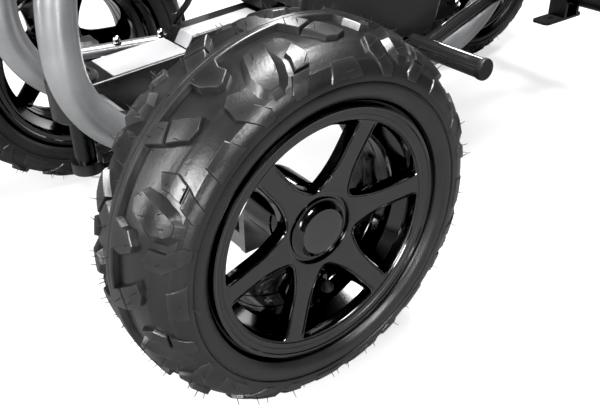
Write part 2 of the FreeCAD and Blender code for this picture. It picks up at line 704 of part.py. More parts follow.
def make_brake_lever():
    blade_r, boss_r, tip_r = 3.7, 7.0, 5.5
    points = [V(PERCH_X + x, y, GRIP_Z) for x, y in LEVER_PATH]
    lever = cyl_z(LEVER_X, LEVER_Y, GRIP_Z - 3.8, boss_r, 7.6)
    for start, end in zip(points, points[1:]):
        axis = end - start
        length = axis.Length
        axis.normalize()
        lever = fused(lever, cylinder(start, axis, blade_r, length),
                      Part.makeSphere(blade_r, end))
    lever = lever.fuse(Part.makeSphere(tip_r, points[-1]))
    return lever.cut(cyl_z(LEVER_X, LEVER_Y, GRIP_Z - 20, PIVOT_BORE, 40)).removeSplitter()


def make_park_button():
    button = cyl_z(BUTTON_X, BUTTON_Y, GRIP_Z + 2.5, 3.0, 11.0)
    return button.fuse(cyl_z(BUTTON_X, BUTTON_Y, GRIP_Z + 12.5, 5.0, 4.0)).removeSplitter()


# ------------------------------------------------------------------- knee pad
PAD_PIN_X = RAIL_RX - 21   # pad clamp lever pin


def make_pad_clamp():
    """Bridge over the rear uprights, with a pin and two blocks at its back."""
    clamp = box(RAIL_RX - 12, RAIL_RX + 12, -RAIL_Y, RAIL_Y, 376, RAIL_TOP_R)
    for side in SIDES:
        clamp = clamp.fuse(cyl_z(RAIL_RX, side * RAIL_Y, 374, 22.0, 26))
    clamp = clamp.cut(box(RAIL_RX - 8, RAIL_RX + 8, -48, 48, 380, 402))
    bores = [cyl_z(RAIL_RX, side * RAIL_Y, 370, RAIL_R, 40) for side in SIDES]
    clamp = largest(minus(clamp, *RAILS, *bores).removeSplitter())
    pin = fused(cyl_z(PAD_PIN_X, 0, 374, 3.0, 28),
                box(RAIL_RX - 25, RAIL_RX - 12, -4, 4, 374, 378),
                box(RAIL_RX - 25, RAIL_RX - 12, -4, 4, 398, 402))
    return clamp.fuse(pin).removeSplitter()


def make_pad_clamp_lever():
    tip_y, z0, height = 54, 382, 12
    lever = fused(cyl_z(PAD_PIN_X, 0, 379, 7.0, 18),
                  box(RAIL_RX - 25, RAIL_RX - 20, 0, tip_y, z0, z0 + height),
                  cyl_z(RAIL_RX - 22.5, tip_y, z0, 4.0, height))
    return lever.cut(cyl_z(PAD_PIN_X, 0, 370, 3.05, 40)).removeSplitter()


def make_pad_frame():
    """Plate on two tubular legs that slide in the rear uprights."""
    frame = rounded_box(RAIL_RX - 30, RAIL_RX + 130, -90, 90, PLATE_Z0, PLATE_Z1, 10.0)
    # Ribs under the plate, clear of the clamp when the pad is at its lowest.
    rib = [(RAIL_RX + 24, PLATE_Z0), (RAIL_RX + 120, PLATE_Z0), (RAIL_RX + 70, 438),
           (RAIL_RX + 24, 436)]
    for side in SIDES:
        y = side * RAIL_Y
        frame = frame.fuse(cyl_z(RAIL_RX, y, 362, LEG_R, 94))
        frame = frame.cut(cyl_z(RAIL_RX, y, 350, LEG_R - LEG_WALL, 104))
        frame = frame.fuse(plate_xz(rib, y - 2, y + 2))
    return frame.removeSplitter()


def make_pad_board():
    half = PAD_HALF - BOARD_INSET
    return rounded_box(PAD_X0 + BOARD_INSET, PAD_X1 - BOARD_INSET, -half, half,
                       PLATE_Z1, PAD_Z0, 34.0)


def make_knee_pad():
    pad = rounded_box(PAD_X0, PAD_X1, -PAD_HALF, PAD_HALF, PAD_Z0 + 0.3, PAD_Z1, 42.0)
    return pad.makeFillet(18.0, [e for e in pad.Edges if e.BoundBox.ZMin > PAD_Z1 - 0.5])


# --------------------------------------------- moulded cover and rear cross bar
def make_body_shell():
    half, wall = 92, 3
    inner = half - wall
    outside = plate_xz(SHELL_OUTER, -half, half).common(
        rounded_box(-360, -118, -half, half, 150, 340, 34.0))
    cavity = plate_xz(SHELL_INNER, -inner, inner).common(
        rounded_box(-360 + wall, -118 - wall, -inner, inner, 140, 340, 34.0 - wall))
    foot = box(-150, -128, -22, 22, 240, 300).cut(SPINE_HIGH)
    post = cyl_z(-292, 0, SPINE_Z2, 9.0, 75.5)
    shell = fused(outside.cut(cavity), foot, post)
    shell = minus(shell, cyl_y(XBAR_X, -200, XBAR_Z, XBAR_R + 2, 400), *RAILS_CLEAR, *SPINE)
    return largest(shell.removeSplitter())


def make_rear_cross_bar():
    half = XBAR_HALF - XBAR_CAP
    bar = minus(cyl_y(XBAR_X, -half, XBAR_Z, XBAR_R, 2 * half), *RAILS, *SPINE)
    return [s for s in bar.Solids if s.Volume > 500]


def make_bar_end_cap(side):
    cap = cyl_y(XBAR_X, side * (XBAR_HALF - XBAR_CAP), XBAR_Z, XBAR_R + 1.0, XBAR_CAP, side)
    end_edges = [e for e in cap.Edges
                 if e.Length > 40 and abs(abs(e.BoundBox.Center.y) - XBAR_HALF) < 1]
    return cap.makeFillet(2.5, end_edges)


# ----------------------------------------------------------- rear stays + axle
REAR_BEAM = cyl_y(REAR_X, -REAR_BEAM_HALF, AXLE_Z, REAR_BEAM_R, 2 * REAR_BEAM_HALF)


def make_rear_stays(side):
    """Outer stay from the cross bar and inner stay from the spine, on one side."""
    outer_y = side * 104
    path = bent_path([(XBAR_X, side * 108, XBAR_Z), (-400, outer_y, 236),
                      (-640, outer_y, 236), (REAR_X, outer_y, AXLE_Z)], [90.0, 70.0])
    cross_bar = cyl_y(XBAR_X, -210, XBAR_Z, XBAR_R, 420)
    outer = minus(sweep(path, 8.5), cross_bar, REAR_BEAM, *RAILS)
    path = bent_path([(SPINE_END + 2, side * 14, 236), (-560, side * 30, 232),
                      (REAR_X, side * 42, 172)], [120.0])
    inner = minus(sweep(path, 9.0), SPINE_HIGH, SPINE_LOW, REAR_BEAM)
    return [largest(outer), largest(inner)]


def make_slotted_bracket():
    """Plate with two slots, hung under the middle of the rear axle beam."""
    half_y, z0, z1, slot_r = 15, 122, 126, 3.5
    bracket = rounded_box(-745, -655, -half_y, half_y, z0, z1, 8.0)
    for x in (-722.0, -678.0):
        slot = fused(box(x - 8, x + 8, -slot_r, slot_r, 115, 130),
                     cyl_z(x - 8, 0, 115, slot_r, 15), cyl_z(x + 8, 0, 115, slot_r, 15))
        bracket = bracket.cut(slot)
    bracket = fused(bracket, box(-703, -697, -half_y, half_y, z1, 160),
                    box(-733, -727, -half_y, half_y, z1, 160))
    bracket = bracket.cut(cyl_y(REAR_X, -30, AXLE_Z, REAR_BEAM_R, 60))
    return largest(bracket.removeSplitter())


def make_rear_beam():
    beam = REAR_BEAM
    tab = [(REAR_X - 14, AXLE_Z), (REAR_X + 14, AXLE_Z), (REAR_X + 12, AXLE_Z + 44),
           (REAR_X - 12, AXLE_Z + 44)]
    for side in SIDES:
        beam = fused(beam, cyl_y(REAR_X, 0, AXLE_Z, 14.0, REAR_Y - SHOULDER, side),
                     plate_xz(tab, *span(side, *TAB_Y)))
    # Brake caliper bracket, left.
    caliper_plate = [(REAR_X - 22, AXLE_Z), (REAR_X + 22, AXLE_Z),
                     (REAR_X + 22, AXLE_Z + 80), (REAR_X - 22, AXLE_Z + 80)]
    beam = beam.fuse(plate_xz(caliper_plate, *CALIPER_Y))
    beam = minus(beam, cyl_y(REAR_X, -300, AXLE_Z, AXLE_R, 600),
                 cyl_y(REAR_X, 130, AXLE_Z + CALIPER_UP, 5.0, 30))
    for side in SIDES:
        beam = beam.cut(cyl_y(REAR_X, side * 110, AXLE_Z + FENDER_BOLT_UP, 3.3, 20, side))
    return beam.fuse(make_slotted_bracket()).removeSplitter()


def make_rear_axle():
    half = REAR_Y + 32.5
    axle = cyl_y(REAR_X, -half, AXLE_Z, AXLE_R, 2 * half)
    for side in SIDES:
        washer_y = side * (REAR_Y + WASHER)
        axle = axle.fuse(cyl_y(REAR_X, washer_y, AXLE_Z, WASHER_R, WASHER_T, side))
    return axle.removeSplitter()


# ----------------------------------------------------------- brake, rear left
def make_brake_disc():
    holes, hole_pitch_r, hole_r = 12, 52, 4.0
    disc = ring((REAR_X, DISC_Y, AXLE_Z), (0, 1, 0), 62.0, 18.0, DISC_T)
    for k in range(holes):
        angle = math.radians(360 / holes * k)
        x = REAR_X + hole_pitch_r * math.cos(angle)
        z = AXLE_Z + hole_pitch_r * math.sin(angle)
        disc = disc.cut(cyl_y(x, REAR_Y - 45, z, hole_r, 12))
    return disc


def make_brake_caliper():
    gap = 1.5              # clearance each side of the disc
    caliper = rounded_box(REAR_X - 22, REAR_X + 22, CALIPER_Y[1], DISC_Y + 13,
                          AXLE_Z + 45, AXLE_Z + 79, 6.0, "y")
    caliper = caliper.cut(box(REAR_X - 30, REAR_X + 30, DISC_Y - gap, DISC_Y + DISC_T + gap,
                              AXLE_Z + 30, AXLE_Z + 66))
    pivot = cyl_y(REAR_X, 128.5, AXLE_Z + CALIPER_UP, 5.0, 22)
    return caliper.fuse(pivot).removeSplitter()


def make_caliper_arm():
    pivot_z, tip_z = AXLE_Z + CALIPER_UP, AXLE_Z + 108
    blade = [(REAR_X - 6, pivot_z), (REAR_X + 6, pivot_z), (REAR_X + 4, tip_z),
             (REAR_X - 4, tip_z)]
    arm = cyl_y(REAR_X, 130, pivot_z, 9.0, 8.0).fuse(plate_xz(blade, 131, 135))
    return arm.cut(cyl_y(REAR_X, 120, pivot_z, 5.05, 30)).removeSplitter()


# --------------------------------------------------------------- rear fenders
def make_fender(side):
    """Fender with one arm from the axle tab up to its inner skirt. Drawn on the left."""
    arm_y = TAB_Y[1] + FENDER_ARM_GAP - REAR_Y
    fender = fused(
        revolve_y(FENDER_SECTION, 118.0, 32.0),
        box(-6, 6, arm_y, arm_y + FENDER_ARM_T, 26, 150),
        box(-6, 6, arm_y, -62.0, 146, 150),
        box(-6, 6, -66.0, -62.0, 146, 156))
    fender = fender.cut(cyl_y(0, -100, FENDER_BOLT_UP, 3.3, 20)).removeSplitter()
    if side < 0:
        fender = mirror_y(fender)
    fender.translate(V(REAR_X, side * REAR_Y, AXLE_Z))
    return fender


# ------------------------------------------------------------------ fasteners
def dome_nut(x, y, z, radius):
    """Dome nut and washer standing on a horizontal face."""
    washer_t, nut_h = 1.2, 3.0
    return fused(
        cyl_z(x, y, z, radius + 2.0, washer_t),
        cyl_z(x, y, z + washer_t, radius, nut_h),
        Part.makeSphere(radius, V(x, y, z + washer_t + nut_h), V(0, 0, 1), 0, 90, 360)
    ).removeSplitter()


def make_frame_bolts(side_tube):
    """Two dome nuts on the side tube and a bolt head on each fender arm."""
    nuts = [dome_nut(x, y, 224.6, 4.0).cut(side_tube)
            for x, y in ((5.0, -58.4), (-42.0, -48.7))]
    head_y = TAB_Y[1] + FENDER_ARM_GAP + FENDER_ARM_T
    heads = [cyl_y(REAR_X, side * head_y, AXLE_Z + FENDER_BOLT_UP, 5.5, 4.0, side)
             for side in SIDES]
    return nuts + heads


def make_upper_cable():
    return sweep(bent_path([(STEER_X - 42, 24, 520), (-6, 28, 800), (10, 90, 925),
                            (PERCH_X + 38, 144, GRIP_Z)], [120.0, 50.0]), 2.5)


# ---------------------------------------------------------------------- write
save_wheels()
save_rails()
save("head_crown", make_head_crown())
save("head_bearings", *make_head_bearings())
save("spine_beam", make_spine_beam())
save("blank_plates", *make_blank_plates())
SIDE_TUBE = make_side_tube()
save("frame_small_tubes", *make_small_tubes(SIDE_TUBE))
save("frame_bolts", *make_frame_bolts(SIDE_TUBE))

save("front_axle_beam", make_front_beam())
save("kingpins", *[make_kingpin(side) for side in SIDES])
save("knuckle_left", make_knuckle(1, ARM_Z))
save("knuckle_right", make_knuckle(-1, ARM_Z + ROD_STEP))
save("tie_rod_left", make_tie_rod(1, ARM_Z + ROD_STEP))
save("tie_rod_right", make_tie_rod(-1, ARM_Z + 2 * ROD_STEP))

save("steering_shaft", make_steering_shaft())
save("fold_pin", make_fold_pin())
save("fold_lever", make_fold_lever())
save("column_tube", make_column())
save("height_lever", make_height_lever())
save("stem_tube", STEM)
save("handlebar", BAR_SOLID.cut(sweep(BAR_PATH, BAR_R - BAR_WALL)))
save("bar_clamp", make_bar_clamp())
save("grips", *[make_grip(side) for side in SIDES])
save("brake_perch", make_brake_perch())
save("brake_lever", make_brake_lever())
save("park_button", make_park_button())

save("pad_clamp", make_pad_clamp())
save("pad_clamp_lever", make_pad_clamp_lever())
save("pad_frame", make_pad_frame())
save("pad_board", make_pad_board())
save("knee_pad", make_knee_pad())

save("body_shell", make_body_shell())
save("rear_cross_bar", *make_rear_cross_bar())
save("bar_end_caps", *[make_bar_end_cap(side) for side in SIDES])
save("rear_stays", *[stay for side in SIDES for stay in make_rear_stays(side)])
save("rear_axle_beam", make_rear_beam())
save("rear_axle", make_rear_axle())
save("brake_disc", make_brake_disc())
save("brake_caliper", make_brake_caliper())
save("caliper_arm", make_caliper_arm())
save("fender_left", make_fender(1))
save("fender_right", make_fender(-1))
save("brake_cable_lower", sweep(bent_path(CABLE_PATH, CABLE_BENDS), 3.2))
save("brake_cable_upper", make_upper_cable())
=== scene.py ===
"""Looks for a four-wheeled frame with a folding steering column and a knee pad.

The frame stands on the floor at z = 0 with +x forward, +y left and +z up. Wheels and
profiles are drawn in millimetres, everything else is in metres unless a comment says so.
"""
import math
import random

import bmesh
import bpy
import numpy as np
from mathutils import Matrix, Vector
from mathutils.bvhtree import BVHTree
from mathutils.geometry import delaunay_2d_cdt

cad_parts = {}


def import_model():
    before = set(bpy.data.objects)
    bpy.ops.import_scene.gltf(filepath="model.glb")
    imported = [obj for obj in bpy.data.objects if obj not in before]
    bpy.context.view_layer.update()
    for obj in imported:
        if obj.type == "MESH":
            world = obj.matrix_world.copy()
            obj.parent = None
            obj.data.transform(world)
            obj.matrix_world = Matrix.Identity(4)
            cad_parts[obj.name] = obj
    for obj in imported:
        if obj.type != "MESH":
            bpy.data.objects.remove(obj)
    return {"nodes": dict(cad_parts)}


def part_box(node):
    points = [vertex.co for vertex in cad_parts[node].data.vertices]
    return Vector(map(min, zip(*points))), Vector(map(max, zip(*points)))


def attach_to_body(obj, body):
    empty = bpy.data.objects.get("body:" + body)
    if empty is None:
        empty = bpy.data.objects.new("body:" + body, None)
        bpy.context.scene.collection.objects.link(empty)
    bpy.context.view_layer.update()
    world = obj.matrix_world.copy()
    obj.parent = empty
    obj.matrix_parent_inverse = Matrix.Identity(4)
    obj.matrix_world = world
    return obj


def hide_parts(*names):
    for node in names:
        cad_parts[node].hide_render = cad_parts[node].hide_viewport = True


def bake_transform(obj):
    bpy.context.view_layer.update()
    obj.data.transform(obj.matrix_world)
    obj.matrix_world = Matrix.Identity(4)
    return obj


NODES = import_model()["nodes"]
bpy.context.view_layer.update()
scene = bpy.context.scene

MM = 0.001
FRONT_AXLE_X = 0.3575
WHEELBASE = 715.0        # mm
FRONT_HALF_TRACK = 242.5  # mm
REAR_HALF_TRACK = 215.0  # mm
TYRE_RADIUS = 163.5      # mm, also the height of the axles


def from_axle(x, y, z):
    """Millimetres measured from below the front axle, to metres in the frame."""
    return (x * MM + FRONT_AXLE_X, y * MM, z * MM)


# ================================================================ mesh helpers
def link_object(name, data):
    part = bpy.data.objects.new(name, data)
    scene.collection.objects.link(part)
    return part


def smooth_faces(mesh):
    for polygon in mesh.polygons:
        polygon.use_smooth = True


def object_from_bmesh(name, solid):
    mesh = bpy.data.meshes.new(name)
    solid.to_mesh(mesh)
    solid.free()
    smooth_faces(mesh)
    return link_object(name, mesh)


def shade(solid, crease=None):
    """Smooths all faces and marks edges sharper than crease degrees."""
    if crease is not None:
        limit = math.radians(crease)
        for edge in solid.edges:
            edge.smooth = not (len(edge.link_faces) == 2 and edge.calc_face_angle(0.0) > limit)
    for face in solid.faces:
        face.smooth = True


def reshade(mesh, crease=None, recalc=False):
    solid = bmesh.new()
    solid.from_mesh(mesh)
    if recalc:
        bmesh.ops.recalc_face_normals(solid, faces=solid.faces[:])
    shade(solid, crease)
    solid.to_mesh(mesh)
    solid.free()
    mesh.update()


def apply_modifiers(part):
    evaluated = part.evaluated_get(bpy.context.evaluated_depsgraph_get())
    mesh = bpy.data.meshes.new_from_object(evaluated)
    old = part.data
    part.modifiers.clear()
    part.data = mesh
    bpy.data.meshes.remove(old)


def round_edges(solid, edges, radius, segments, clamp=False):
    bmesh.ops.bevel(solid, geom=edges, offset=radius, segments=segments, profile=0.5,
                    affect="EDGES", clamp_overlap=clamp)


def attach(part, body, slot, *replaced):
    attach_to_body(part, body)
    if replaced:
        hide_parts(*replaced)


def circle(radius, steps):
    angles = [2 * math.pi * i / steps for i in range(steps)]
    return [(radius * math.cos(angle), radius * math.sin(angle)) for angle in angles]


def ring(centre, side, up, radius, steps):
    """Points of a circle in the plane of the unit vectors side and up."""
    return [centre + (side * cosine + up * sine) * radius for cosine, sine in circle(1.0, steps)]


def smooth_curve(points, steps):
    """Catmull-Rom curve through the points, with the given steps per span."""
    points = [np.array(point, float) for point in points]
    points = [2 * points[0] - points[1]] + points + [2 * points[-1] - points[-2]]
    curve = []
    for i in range(1, len(points) - 2):
        a, b, c, d = points[i - 1:i + 3]
        for k in range(steps):
            t = k / steps
            curve.append(0.5 * ((2 * b) + (c - a) * t + (2 * a - 5 * b + 4 * c - d) * t * t
                                + (3 * b - a - 3 * c + d) * t ** 3))
    curve.append(points[-2])
    return np.array(curve)


def offset_outline(points, distance, least_dot):
    """Grows a closed outline; least_dot limits how far its mitred corners reach."""
    points = np.array(points)
    following = np.roll(points, -1, axis=0)
    area = 0.5 * np.sum(points[:, 0] * following[:, 1] - following[:, 0] * points[:, 1])
    turn = 1.0 if area > 0 else -1.0
    grown = []
    for i, point in enumerate(points):
        before = point - points[i - 1]
        after = following[i] - point
        before /= np.linalg.norm(before)
        after /= np.linalg.norm(after)
        normal = np.array([before[1], -before[0]]) * turn
        mitre = normal + np.array([after[1], -after[0]]) * turn
        mitre /= max(least_dot, float(np.dot(mitre, normal)))
        grown.append(point + mitre * distance)
    return grown


class Shape:
    """Vertices and faces gathered before they become a mesh."""

    def __init__(self):
        self.verts = []
        self.faces = []

    def grid(self, points, columns, wrap_rows=False, wrap_columns=True, capped=False):
        """Adds rows of points joined by quads; capped closes the first and last rows."""
        start = len(self.verts)
        self.verts.extend(points)
        rows = len(points) // columns
        for i in range(rows if wrap_rows else rows - 1):
            row, after = start + i * columns, start + (i + 1) % rows * columns
            for k in range(columns if wrap_columns else columns - 1):
                l = (k + 1) % columns
                self.faces.append([row + k, row + l, after + l, after + k])
        if capped:
            self.faces.append([start + k for k in range(columns - 1, -1, -1)])
            self.faces.append([start + (rows - 1) * columns + k for k in range(columns)])

    def revolve(self, profile, steps, closed=False):
        """Turns (radius, y) points about the y axis."""
        points = [(radius * cosine, y, radius * sine)
                  for cosine, sine in circle(1.0, steps) for radius, y in profile]
        self.grid(points, len(profile), wrap_rows=True, wrap_columns=closed)

    def turn_on_line(self, profile, start, end, sides, flute=0.0):
        """Turns (distance, radius) points about a line; flute cuts every other side
        where the radius is that of the grip ribs."""
        start, end = Vector(start), Vector(end)
        axis = (end - start).normalized()
        side = axis.cross(Vector((0, 0, 1))).normalized()
        up = axis.cross(side)
        points = []
        for distance, radius in profile:
            centre = start + axis * distance
            for k, (cosine, sine) in enumerate(circle(1.0, sides)):
                cut = flute if k % 2 and 0.0158 < radius < 0.0175 else 0.0
                reach = radius - cut
                points.append(tuple(centre + side * (reach * cosine) + up * (reach * sine)))
        self.grid(points, sides, capped=True)

    def mesh(self, name, scale=1.0):
        mesh = bpy.data.meshes.new(name)
        mesh.from_pydata((np.array(self.verts, float) * scale).tolist(), [], self.faces)
        mesh.update()
        return mesh

    def object(self, name, material, crease=None, recalc=False):
        mesh = self.mesh(name)
        mesh.validate()
        smooth_faces(mesh)
        part = link_object(name, mesh)
        reshade(mesh, crease, recalc)
        mesh.materials.append(MATERIALS[material])
        return part


# =================================================================== materials
class Nodes:
    """A node tree; every input takes either a value or a socket to link."""

    def __init__(self, tree):
        self.tree = tree
        tree.nodes.clear()

    def feed(self, node, inputs):
        for key, value in inputs.items():
            if isinstance(value, bpy.types.NodeSocket):
                self.tree.links.new(value, node.inputs[key])
            else:
                node.inputs[key].default_value = value

    def add(self, kind, inputs=None, **settings):
        node = self.tree.nodes.new(kind)
        for key, value in settings.items():
            setattr(node, key, value)
        self.feed(node, inputs or {})
        return node

    def coords(self):
        return self.add("ShaderNodeTexCoord").outputs["Object"]

    def camera_ray(self):
        return self.add("ShaderNodeLightPath").outputs["Is Camera Ray"]

    def pointiness(self):
        """Above 0.5 on convex edges, below it in recesses."""
        return self.add("ShaderNodeNewGeometry").outputs["Pointiness"]

    def noise(self, place, scale, detail, roughness, output=0):
        inputs = {"Scale": scale, "Detail": detail, "Roughness": roughness, "Vector": place}
        return self.add("ShaderNodeTexNoise", inputs).outputs[output]

    def stretch(self, place, scale):
        return self.add("ShaderNodeMapping", {"Scale": scale, 0: place}).outputs[0]

    def ramp(self, value, *stops):
        """Each stop is (position, rgb)."""
        node = self.add("ShaderNodeValToRGB", {0: value})
        elements = node.color_ramp.elements
        while len(elements) < len(stops):
            elements.new(0.5)
        for element, (position, colour) in zip(elements, stops):
            element.position = position
            element.color = (*colour, 1.0)
        return node.outputs[0]

    def map_range(self, value, source, target):
        names = ("From Min", "From Max", "To Min", "To Max")
        inputs = dict(zip(names, (*source, *target)))
        return self.add("ShaderNodeMapRange", {**inputs, "Value": value}).outputs[0]

    def mix(self, factor, first, second, blend="MIX"):
        inputs = {0: factor, 1: first, 2: second}
        return self.add("ShaderNodeMixRGB", inputs, blend_type=blend).outputs[0]

    def multiply(self, first, second, factor=1.0):
        return self.mix(factor, first, second, "MULTIPLY")


class Surface(Nodes):
    """A material: a Principled shader and the nodes that feed it."""

    def __init__(self, name):
        self.material = bpy.data.materials.new(name)
        self.material.use_nodes = True
        super().__init__(self.material.node_tree)
        self.shader = self.add("ShaderNodeBsdfPrincipled")
        self.add("ShaderNodeOutputMaterial", {0: self.shader.outputs[0]})

    def set(self, **inputs):
        """Shader inputs, with underscores for spaces."""
        self.feed(self.shader, {key.replace("_", " "): value for key, value in inputs.items()})

    def bump(self, height, strength, distance, below=None):
        """Bumps the shader's normal, on top of an earlier bump if one is given."""
        inputs = {"Strength": strength, "Distance": distance, "Height": height}
        if below is not None:
            inputs["Normal"] = below
        normal = self.add("ShaderNodeBump", inputs).outputs[0]
        self.set(Normal=normal)
        return normal

    def cloud_roughness(self, cloud, low, high):
        self.set(Roughness=self.map_range(cloud, source=(0.3, 0.7), target=(low, high)))


def scaled(colour, factor):
    return [min(1.0, channel * factor) for channel in colour]


def grey(value):
    return (value,) * 3


def paint_surface(name, colour, roughness, metallic=0.0, flake=0.0, coat=0.0, peel=0.25):
    """Sprayed paint: orange-peel bump, slight gloss variation, lighter worn edges."""
    surface = Surface(name)
    place = surface.coords()
    cloud = surface.noise(place, scale=35.0, detail=3.0, roughness=0.5)
    fine = surface.noise(place, scale=900.0, detail=2.0, roughness=0.5)
    base = surface.ramp(cloud, (0.35, scaled(colour, 0.93)), (0.65, scaled(colour, 1.06)))
    surface.cloud_roughness(cloud, roughness * 0.85, roughness * 1.2)
    edges = surface.map_range(surface.pointiness(), source=(0.52, 0.60), target=(0.0, 1.0))
    worn = (*[min(1.0, channel * 1.15 + 0.015) for channel in colour], 1)
    base = surface.mix(edges, base, worn)
    if flake:
        cells = surface.add("ShaderNodeTexVoronoi", {"Scale": 2200.0, "Vector": place})
        sparkle = surface.map_range(cells.outputs["Distance"], source=(0.0, 0.6),
                                    target=(1.0 + flake, 1.0 - flake))
        base = surface.multiply(base, sparkle)
    surface.set(Base_Color=base, Metallic=metallic, Coat_Weight=coat, Coat_Roughness=0.08)
    surface.bump(fine, strength=peel, distance=0.00008)
    return surface.material


def rubber_surface(name, base, roughness, grain, specular):
    """Moulded rubber: fine grain, cloudy sheen, paler edges that are partly rubbed wear and
    partly a painted highlight, and painted shade in recesses.
    """
    surface = Surface(name)
    place = surface.coords()
    cloud = surface.noise(place, scale=22.0, detail=5.0, roughness=0.6)
    coarse = surface.noise(place, scale=420.0, detail=3.0, roughness=0.6)
    fine = surface.noise(place, scale=1600.0, detail=2.0, roughness=0.5)
    colour = surface.ramp(cloud, (0.3, grey(base * 0.8)),
                          (0.7, (base * 1.25, base * 1.25, base * 1.28)))
    edges = surface.pointiness()
    # pointiness tint: painted shade in recesses (0.25), paler convex edges as rubbed wear and
    # painted highlight (2.6)
    rubbed_highlight_and_shade = surface.ramp(edges, (0.44, grey(0.25)), (0.50, grey(1.0)), (0.57, grey(2.6)))
    gloss = surface.map_range(edges, source=(0.44, 0.50), target=(specular * 0.45, specular))
    surface.set(Base_Color=surface.multiply(colour, rubbed_highlight_and_shade), Specular_IOR_Level=gloss)
    surface.cloud_roughness(cloud, roughness * 0.86, roughness * 1.15)
    below = surface.bump(coarse, strength=0.25 * grain, distance=0.0004)
    surface.bump(fine, strength=0.2 * grain, distance=0.0001, below=below)
    return surface.material


def plastic_surface(name, base, roughness, specular, grain, grain_scale, coat=0.0):
    """Moulded plastic: faint blue cast, fine grain, paler edges, painted shade in recesses."""
    surface = Surface(name)
    place = surface.coords()
    cloud = surface.noise(place, scale=18.0, detail=4.0, roughness=0.6)
    fine = surface.noise(place, scale=grain_scale, detail=3.0, roughness=0.65)
    tint = (base, base, base * 1.03)
    colour = surface.ramp(cloud, (0.3, scaled(tint, 0.88)), (0.7, scaled(tint, 1.12)))
    # pointiness tint: painted shade in recesses (0.7), paler convex edges (1.5)
    edges = surface.ramp(surface.pointiness(), (0.44, grey(0.7)), (0.5, grey(1.0)),
                         (0.58, grey(1.5)))
    surface.set(Base_Color=surface.multiply(colour, edges, factor=0.7),
                Specular_IOR_Level=specular, Coat_Weight=coat, Coat_Roughness=0.05)
    surface.cloud_roughness(cloud, roughness * 0.9, roughness * 1.15)
    surface.bump(fine, strength=grain, distance=0.00012)
    return surface.material


def metal_surface(name, colour, roughness, brushed=0.0, axis="z"):
    """Bare metal; brushed is the strength of streaks that run along the axis."""
    surface = Surface(name)
    place = surface.coords()
    cloud = surface.noise(place, scale=30.0, detail=4.0, roughness=0.6)
    base = surface.ramp(cloud, (0.3, scaled(colour, 0.86)), (0.7, scaled(colour, 1.08)))
    surface.set(Base_Color=base, Metallic=1.0)
    surface.cloud_roughness(cloud, roughness * 0.8, roughness * 1.25)
    if brushed:
        streaks = surface.stretch(place, {"y": (900, 8, 900), "z": (900, 900, 8)}[axis])
        height = surface.noise(streaks, scale=1.0, detail=3.0, roughness=0.6)
        surface.bump(height, strength=brushed, distance=0.00005)
    return surface.material


def wood_surface(name):
    """Plywood: thin layers stacked in z."""
    surface = Surface(name)
    place = surface.coords()
    layers = surface.add("ShaderNodeTexWave", {
        "Scale": 26.0, "Distortion": 0.4, 0: surface.stretch(place, (1.0, 1.0, 14.0)),
    }, wave_type="BANDS", bands_direction="Z")
    fibre = surface.noise(place, scale=60.0, detail=5.0, roughness=0.6)
    colour = surface.ramp(layers.outputs[0], (0.2, (0.20, 0.12, 0.06)), (0.8, (0.46, 0.31, 0.17)))
    surface.set(Base_Color=surface.multiply(colour, fibre, factor=0.5), Roughness=0.6)
    surface.bump(fibre, strength=0.2, distance=0.0003)
    return surface.material


def vinyl_surface(name):
    """Black synthetic leather: cell-like grain, soft sheen, creases."""
    surface = Surface(name)
    place = surface.coords()
    wander = surface.noise(place, scale=120.0, detail=3.0, roughness=0.6, output="Color")
    voronoi = surface.add("ShaderNodeTexVoronoi", {
        "Scale": 620.0, "Vector": surface.mix(0.012, place, wander)}, feature="DISTANCE_TO_EDGE")
    cells = surface.map_range(voronoi.outputs["Distance"], source=(0.0, 0.22), target=(0.0, 1.0))
    cloud = surface.noise(place, scale=14.0, detail=5.0, roughness=0.6)
    colour = surface.ramp(cloud, (0.3, (0.008, 0.008, 0.0085)), (0.7, (0.016, 0.016, 0.017)))
    surface.set(Base_Color=surface.multiply(colour, cells, factor=0.55), Sheen_Weight=0.04)
    surface.cloud_roughness(cloud, 0.36, 0.52)
    below = surface.bump(cells, strength=0.35, distance=0.00025)
    surface.bump(cloud, strength=0.25, distance=0.002, below=below)
    return surface.material


